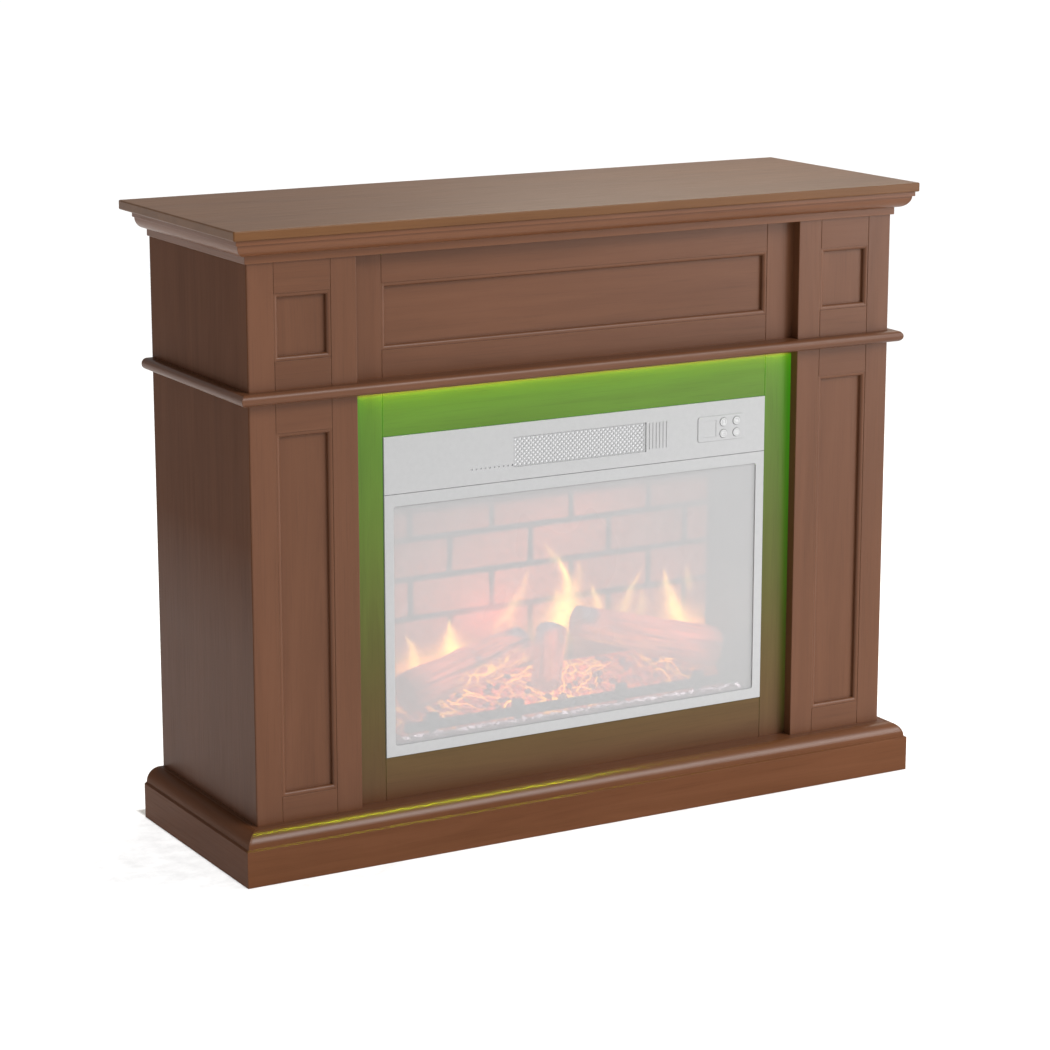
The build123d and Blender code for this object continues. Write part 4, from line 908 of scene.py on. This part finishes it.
CRYSTAL_TIPS = ((1, 0, 0), (0, 1, 0), (-1, 0, 0), (0, -1, 0), (0, 0, 1.5), (0, 0, -1.5))
strip_x = (bed_low.x + 0.004, bed_high.x - 0.004)
strip_y = (bed_low.y + 1.5 * MM, bed_low.y + 9.0 * MM)
crystal_points, crystal_faces = [], []
for _ in range(CRYSTALS):
    size = rng.uniform(*CRYSTAL_SIZE) * MM
    centre = Vector((rng.uniform(*strip_x), rng.uniform(*strip_y), 0))
    top = bed_height(centre.x, centre.y) or bed_low.z + 9 * MM
    centre.z = top + rng.uniform(-1.0, 1.6) * MM
    spin, tilt = rng.uniform(0, math.pi), rng.uniform(0, math.pi)
    turn = Matrix.Rotation(spin, 3, "Z") @ Matrix.Rotation(tilt, 3, "X")
    base = len(crystal_points)
    for tip in CRYSTAL_TIPS:
        grown = Vector(tip) * size * rng.uniform(0.7, 1.0)
        crystal_points.append(tuple(centre + turn @ grown))
    for side in range(4):
        after = (side + 1) % 4
        crystal_faces.append((base + side, base + after, base + 4))
        crystal_faces.append((base + after, base + side, base + 5))
piece("ember_crystals", crystal_points, crystal_faces, crystal_material, ROOT, smooth=False)

# ---------------------------------------------------------------- gauze behind the outlet and the vent holes
mesh_low, mesh_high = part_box("outlet_grille")
VENT_LEFT = -0.204  # just left of the row of vent holes
GAUZE_CELL, GAUZE_THICK, WEAVE = 2.4 * MM, 0.3 * MM, 0.22 * MM
GAUZE_GAP = 0.45 * MM
gauze_x = (VENT_LEFT, mesh_high.x - 2 * MM)
gauze_z = (mesh_low.z - 8 * MM, mesh_high.z - 2 * MM)
columns, rows = (int((pair[1] - pair[0]) / GAUZE_CELL) for pair in (gauze_x, gauze_z))
gauze_points = []
for row in range(rows + 1):
    for column in range(columns + 1):
        wave = WEAVE if (row + column) % 2 else -WEAVE
        x = gauze_x[0] + (gauze_x[1] - gauze_x[0]) * column / columns
        z = gauze_z[0] + (gauze_z[1] - gauze_z[0]) * row / rows
        gauze_points.append((x, mesh_high.y + GAUZE_GAP + wave, z))
gauze_faces = grid_faces(columns, rows)
gauze = piece("outlet_gauze", gauze_points, gauze_faces, finishes["gauze"], ROOT)
gauze.modifiers.new("thick", "SOLIDIFY").thickness = GAUZE_THICK

# ---------------------------------------------------------------- symbols on the buttons
ICON_SUNK, ICON_DEPTH = 0.02 * MM, 0.12 * MM
LINE, RIM_LINE, RIM_RADIUS = 0.46 * MM, 0.34 * MM, 5.3 * MM


def add_ribbon(points, faces, path, closed, centre, line=LINE):
    """Adds a flat raised line that follows (across, up) points on a button's face."""
    base, count = len(points), len(path)
    for step, (across, up) in enumerate(path):
        before = path[(step - 1) % count] if closed or step else path[step]
        after = path[(step + 1) % count] if closed or step < count - 1 else path[step]
        way = Vector((after[0] - before[0], after[1] - before[1])).normalized()
        for offset in (-line / 2, line / 2):
            x, z = centre.x + across - way.y * offset, centre.z + up + way.x * offset
            points += [(x, centre.y + ICON_SUNK, z), (x, centre.y - ICON_DEPTH, z)]
    for step in range(count if closed else count - 1):
        here, there = base + step * 4, base + (step + 1) % count * 4
        for first, second in ((0, 1), (1, 3), (3, 2), (2, 0)):
            faces.append((here + first, here + second, there + second, there + first))
    if not closed:
        last = base + (count - 1) * 4
        faces.append((base, base + 2, base + 3, base + 1))
        faces.append((last, last + 1, last + 3, last + 2))


def arc(radius, start, end, steps=28):
    """Points on an arc between two angles in degrees."""
    turns = [math.radians(start + (end - start) * step / steps) for step in range(steps + 1)]
    return [(radius * math.cos(turn), radius * math.sin(turn)) for turn in turns]


def power_lines():
    """An open ring with a stroke in its gap; like the other symbols, (path, closed) pairs."""
    return [(arc(2.7 * MM, 125, 415), False), ([(0, 0.8 * MM), (0, 3.6 * MM)], False)]


def timer_lines():
    """A clock with two hands."""
    hands = [(0, 1.9 * MM), (0, 0), (1.3 * MM, -0.7 * MM)]
    return [(arc(2.9 * MM, 0, 360)[:-1], True), (hands, False)]


def flame_lines():
    """A drop-shaped flame that leans a little."""
    outline = []
    for step in range(32):
        turn = step / 32 * 2 * math.pi
        lean = 0.15 * math.sin(turn) * (1 + math.cos(turn))
        across = 2.2 * math.sin(turn) * math.sin(turn / 2) + lean
        outline.append((across * MM, (3.3 * math.cos(turn) - 0.2) * MM))
    return [(outline, True)]


def heat_lines():
    """Three upright waves."""
    waves = []
    for across in (-1.9, 0, 1.9):
        wave = []
        for step in range(19):
            wave.append(((across + 0.5 * math.sin(step / 3)) * MM, (step / 18 * 5.4 - 2.7) * MM))
        waves.append((wave, False))
    return waves


ICONS = {"power": power_lines, "timer": timer_lines, "flame": flame_lines, "heat": heat_lines}
for name, lines in ICONS.items():
    low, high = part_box(f"{name}_button")
    centre = Vector(((low.x + high.x) / 2, low.y, (low.z + high.z) / 2))
    points, faces = [], []
    for path, closed in lines():
        add_ribbon(points, faces, path, closed, centre)
    add_ribbon(points, faces, arc(RIM_RADIUS, 0, 360, 48)[:-1], True, centre, RIM_LINE)
    piece(f"{name}_symbol", points, faces, icon_material, f"{name}_key", smooth=False)

# ---------------------------------------------------------------- studio floor
floor_material = finish(
    "pale_studio_floor", (0.86, 0.86, 0.86), (0.88, 0.88, 0.88),
    rough=0.75, scale=30, depth=0.00002, specular=0.1,
)
FLOOR_HALF, FLOOR_CELLS, FLOOR_DROP = 400.0, 24, 0.3 * MM
floor_points = []
for row in range(FLOOR_CELLS + 1):
    for column in range(FLOOR_CELLS + 1):
        place = [(count / FLOOR_CELLS * 2 - 1) * FLOOR_HALF for count in (column, row)]
        floor_points.append((*place, -FLOOR_DROP))
floor_mesh = bpy.data.meshes.new("studio_floor")
floor_mesh.from_pydata(floor_points, [], grid_faces(FLOOR_CELLS, FLOOR_CELLS))
floor_mesh.materials.append(floor_material)
floor = bpy.data.objects.new("studio_floor", floor_mesh)
scene.collection.objects.link(floor)
floor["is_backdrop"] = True


# ---------------------------------------------------------------- light
SUN_DISC = math.radians(0.526)  # as wide as the real sun


def area_light(name, place, aim, size, power, colour=(1, 1, 1), spread=180):
    """A rectangular lamp that shines from a place towards a point and isn't seen itself."""
    data = bpy.data.lights.new(name, "AREA")
    data.shape = "RECTANGLE"
    data.size, data.size_y = size
    data.energy, data.color = power, colour
    data.spread = math.radians(spread)
    made = bpy.data.objects.new(name, data)
    made.location = place
    made.rotation_euler = (Vector(aim) - Vector(place)).to_track_quat("-Z", "Y").to_euler()
    made.visible_camera = False
    scene.collection.objects.link(made)
    return made


def sun_light(name, power, way, angle=SUN_DISC):
    """A sun that shines along a direction; angle is how wide its disc is."""
    data = bpy.data.lights.new(name, "SUN")
    data.energy, data.angle = power, angle
    made = bpy.data.objects.new(name, data)
    made.rotation_euler = Vector(way).to_track_quat("-Z", "Y").to_euler()
    scene.collection.objects.link(made)
    return made


def link_light(lamp, objects, state="INCLUDE"):
    """Lets a lamp light these objects alone, or everything but these with EXCLUDE."""
    group = bpy.data.collections.new(f"{lamp.name}_receivers")
    for lit in objects:
        group.objects.link(lit)
    for member in group.collection_objects:
        member.light_linking.link_state = state
    lamp.light_linking.receiver_collection = group


world = bpy.data.worlds.new("studio")
scene.world = world
world.use_nodes = True
sky = world.node_tree.nodes["Background"]
sky.inputs["Color"].default_value = (1.0, 1.0, 1.0, 1.0)
# soft light on the object, but as white as the floor where a low view sees past the floor's edge
SKY_LIGHT, SKY_SEEN = 0.42, 1.0
seen = world.node_tree.nodes.new("ShaderNodeLightPath").outputs["Is Camera Ray"]
sky_power = remap(world.node_tree, seen, 0.0, 1.0, SKY_LIGHT, SKY_SEEN)
world.node_tree.links.new(sky_power, sky.inputs["Strength"])

SUN_ACROSS, SUN_UP = math.radians(30), math.radians(40)
across, forward = math.sin(SUN_ACROSS) * math.cos(SUN_UP), math.cos(SUN_ACROSS) * math.cos(SUN_UP)
key_sun = sun_light("key_sun", 2.3, (-across, forward, -math.sin(SUN_UP)), angle=math.radians(28))
area_light("right_softbox", (3.0, -2.6, 1.2), (0.3, 0, 0.5), size=(1.8, 1.8), power=68)
area_light("top_softbox", (1.5, 1.2, 2.8), (0.4, 0, 0.9), size=(2.0, 1.8), power=52, colour=(1.0, 0.96, 0.84))

# green light strip under the half-round moulding, and its glint on the plinth's gloss
strip_low, strip_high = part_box("led_diffuser")
lamp_x, lamp_y = (strip_low.x + strip_high.x) / 2, (strip_low.y + strip_high.y) / 2
strip_place, below = (lamp_x, lamp_y, strip_low.z - 0.6 * MM), (lamp_x, lamp_y, 0)
strip_size = (strip_high.x - strip_low.x, 8 * MM)
strip = area_light("led_strip_light", strip_place, below, strip_size, 0.9, (0.34, 1.0, 0.0), 150)
link_light(strip, [nodes[name] for name in SURROUND + ("mid_moulding_front",)])
glint = area_light("led_glint", strip_place, below, strip_size, 7.5, (0.85, 1.0, 0.0), 150)
glint.visible_diffuse = False
link_light(glint, [nodes["plinth_front"]])

# the key sun skips the floor, which a sun from straight above lights instead: no long shadow on it
floor_sun = sun_light("floor_sun", 2.85, (0, 0, -1))
link_light(floor_sun, [floor])
link_light(key_sun, [floor], "EXCLUDE")

scene.view_settings.view_transform = "Standard"

# ---------------------------------------------------------------- camera
VIEW_YAW, VIEW_PITCH, VIEW_DISTANCE = math.radians(29.56), math.radians(13.00), 5.117
SENSOR_WIDTH, LENS = 36, 107.4
centre = (cad_low + cad_high) / 2
# the photo's centre falls a little below and left of the object's
aim = centre + Vector((-0.011, -0.006, -0.045))
across, forward = math.sin(VIEW_YAW) * math.cos(VIEW_PITCH), math.cos(VIEW_YAW) * math.cos(VIEW_PITCH)
back = Vector((-across, -forward, math.sin(VIEW_PITCH)))
camera_data = bpy.data.cameras.new("camera")
camera_data.sensor_width = SENSOR_WIDTH
camera_data.lens = LENS
camera_data.clip_end = 2 * FLOOR_HALF
camera = bpy.data.objects.new("camera", camera_data)
camera.location = aim + back * VIEW_DISTANCE
camera.rotation_euler = (-back).to_track_quat("-Z", "Y").to_euler()
scene.collection.objects.link(camera)
scene.camera = camera

bpy.context.view_layer.update()
low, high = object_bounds()
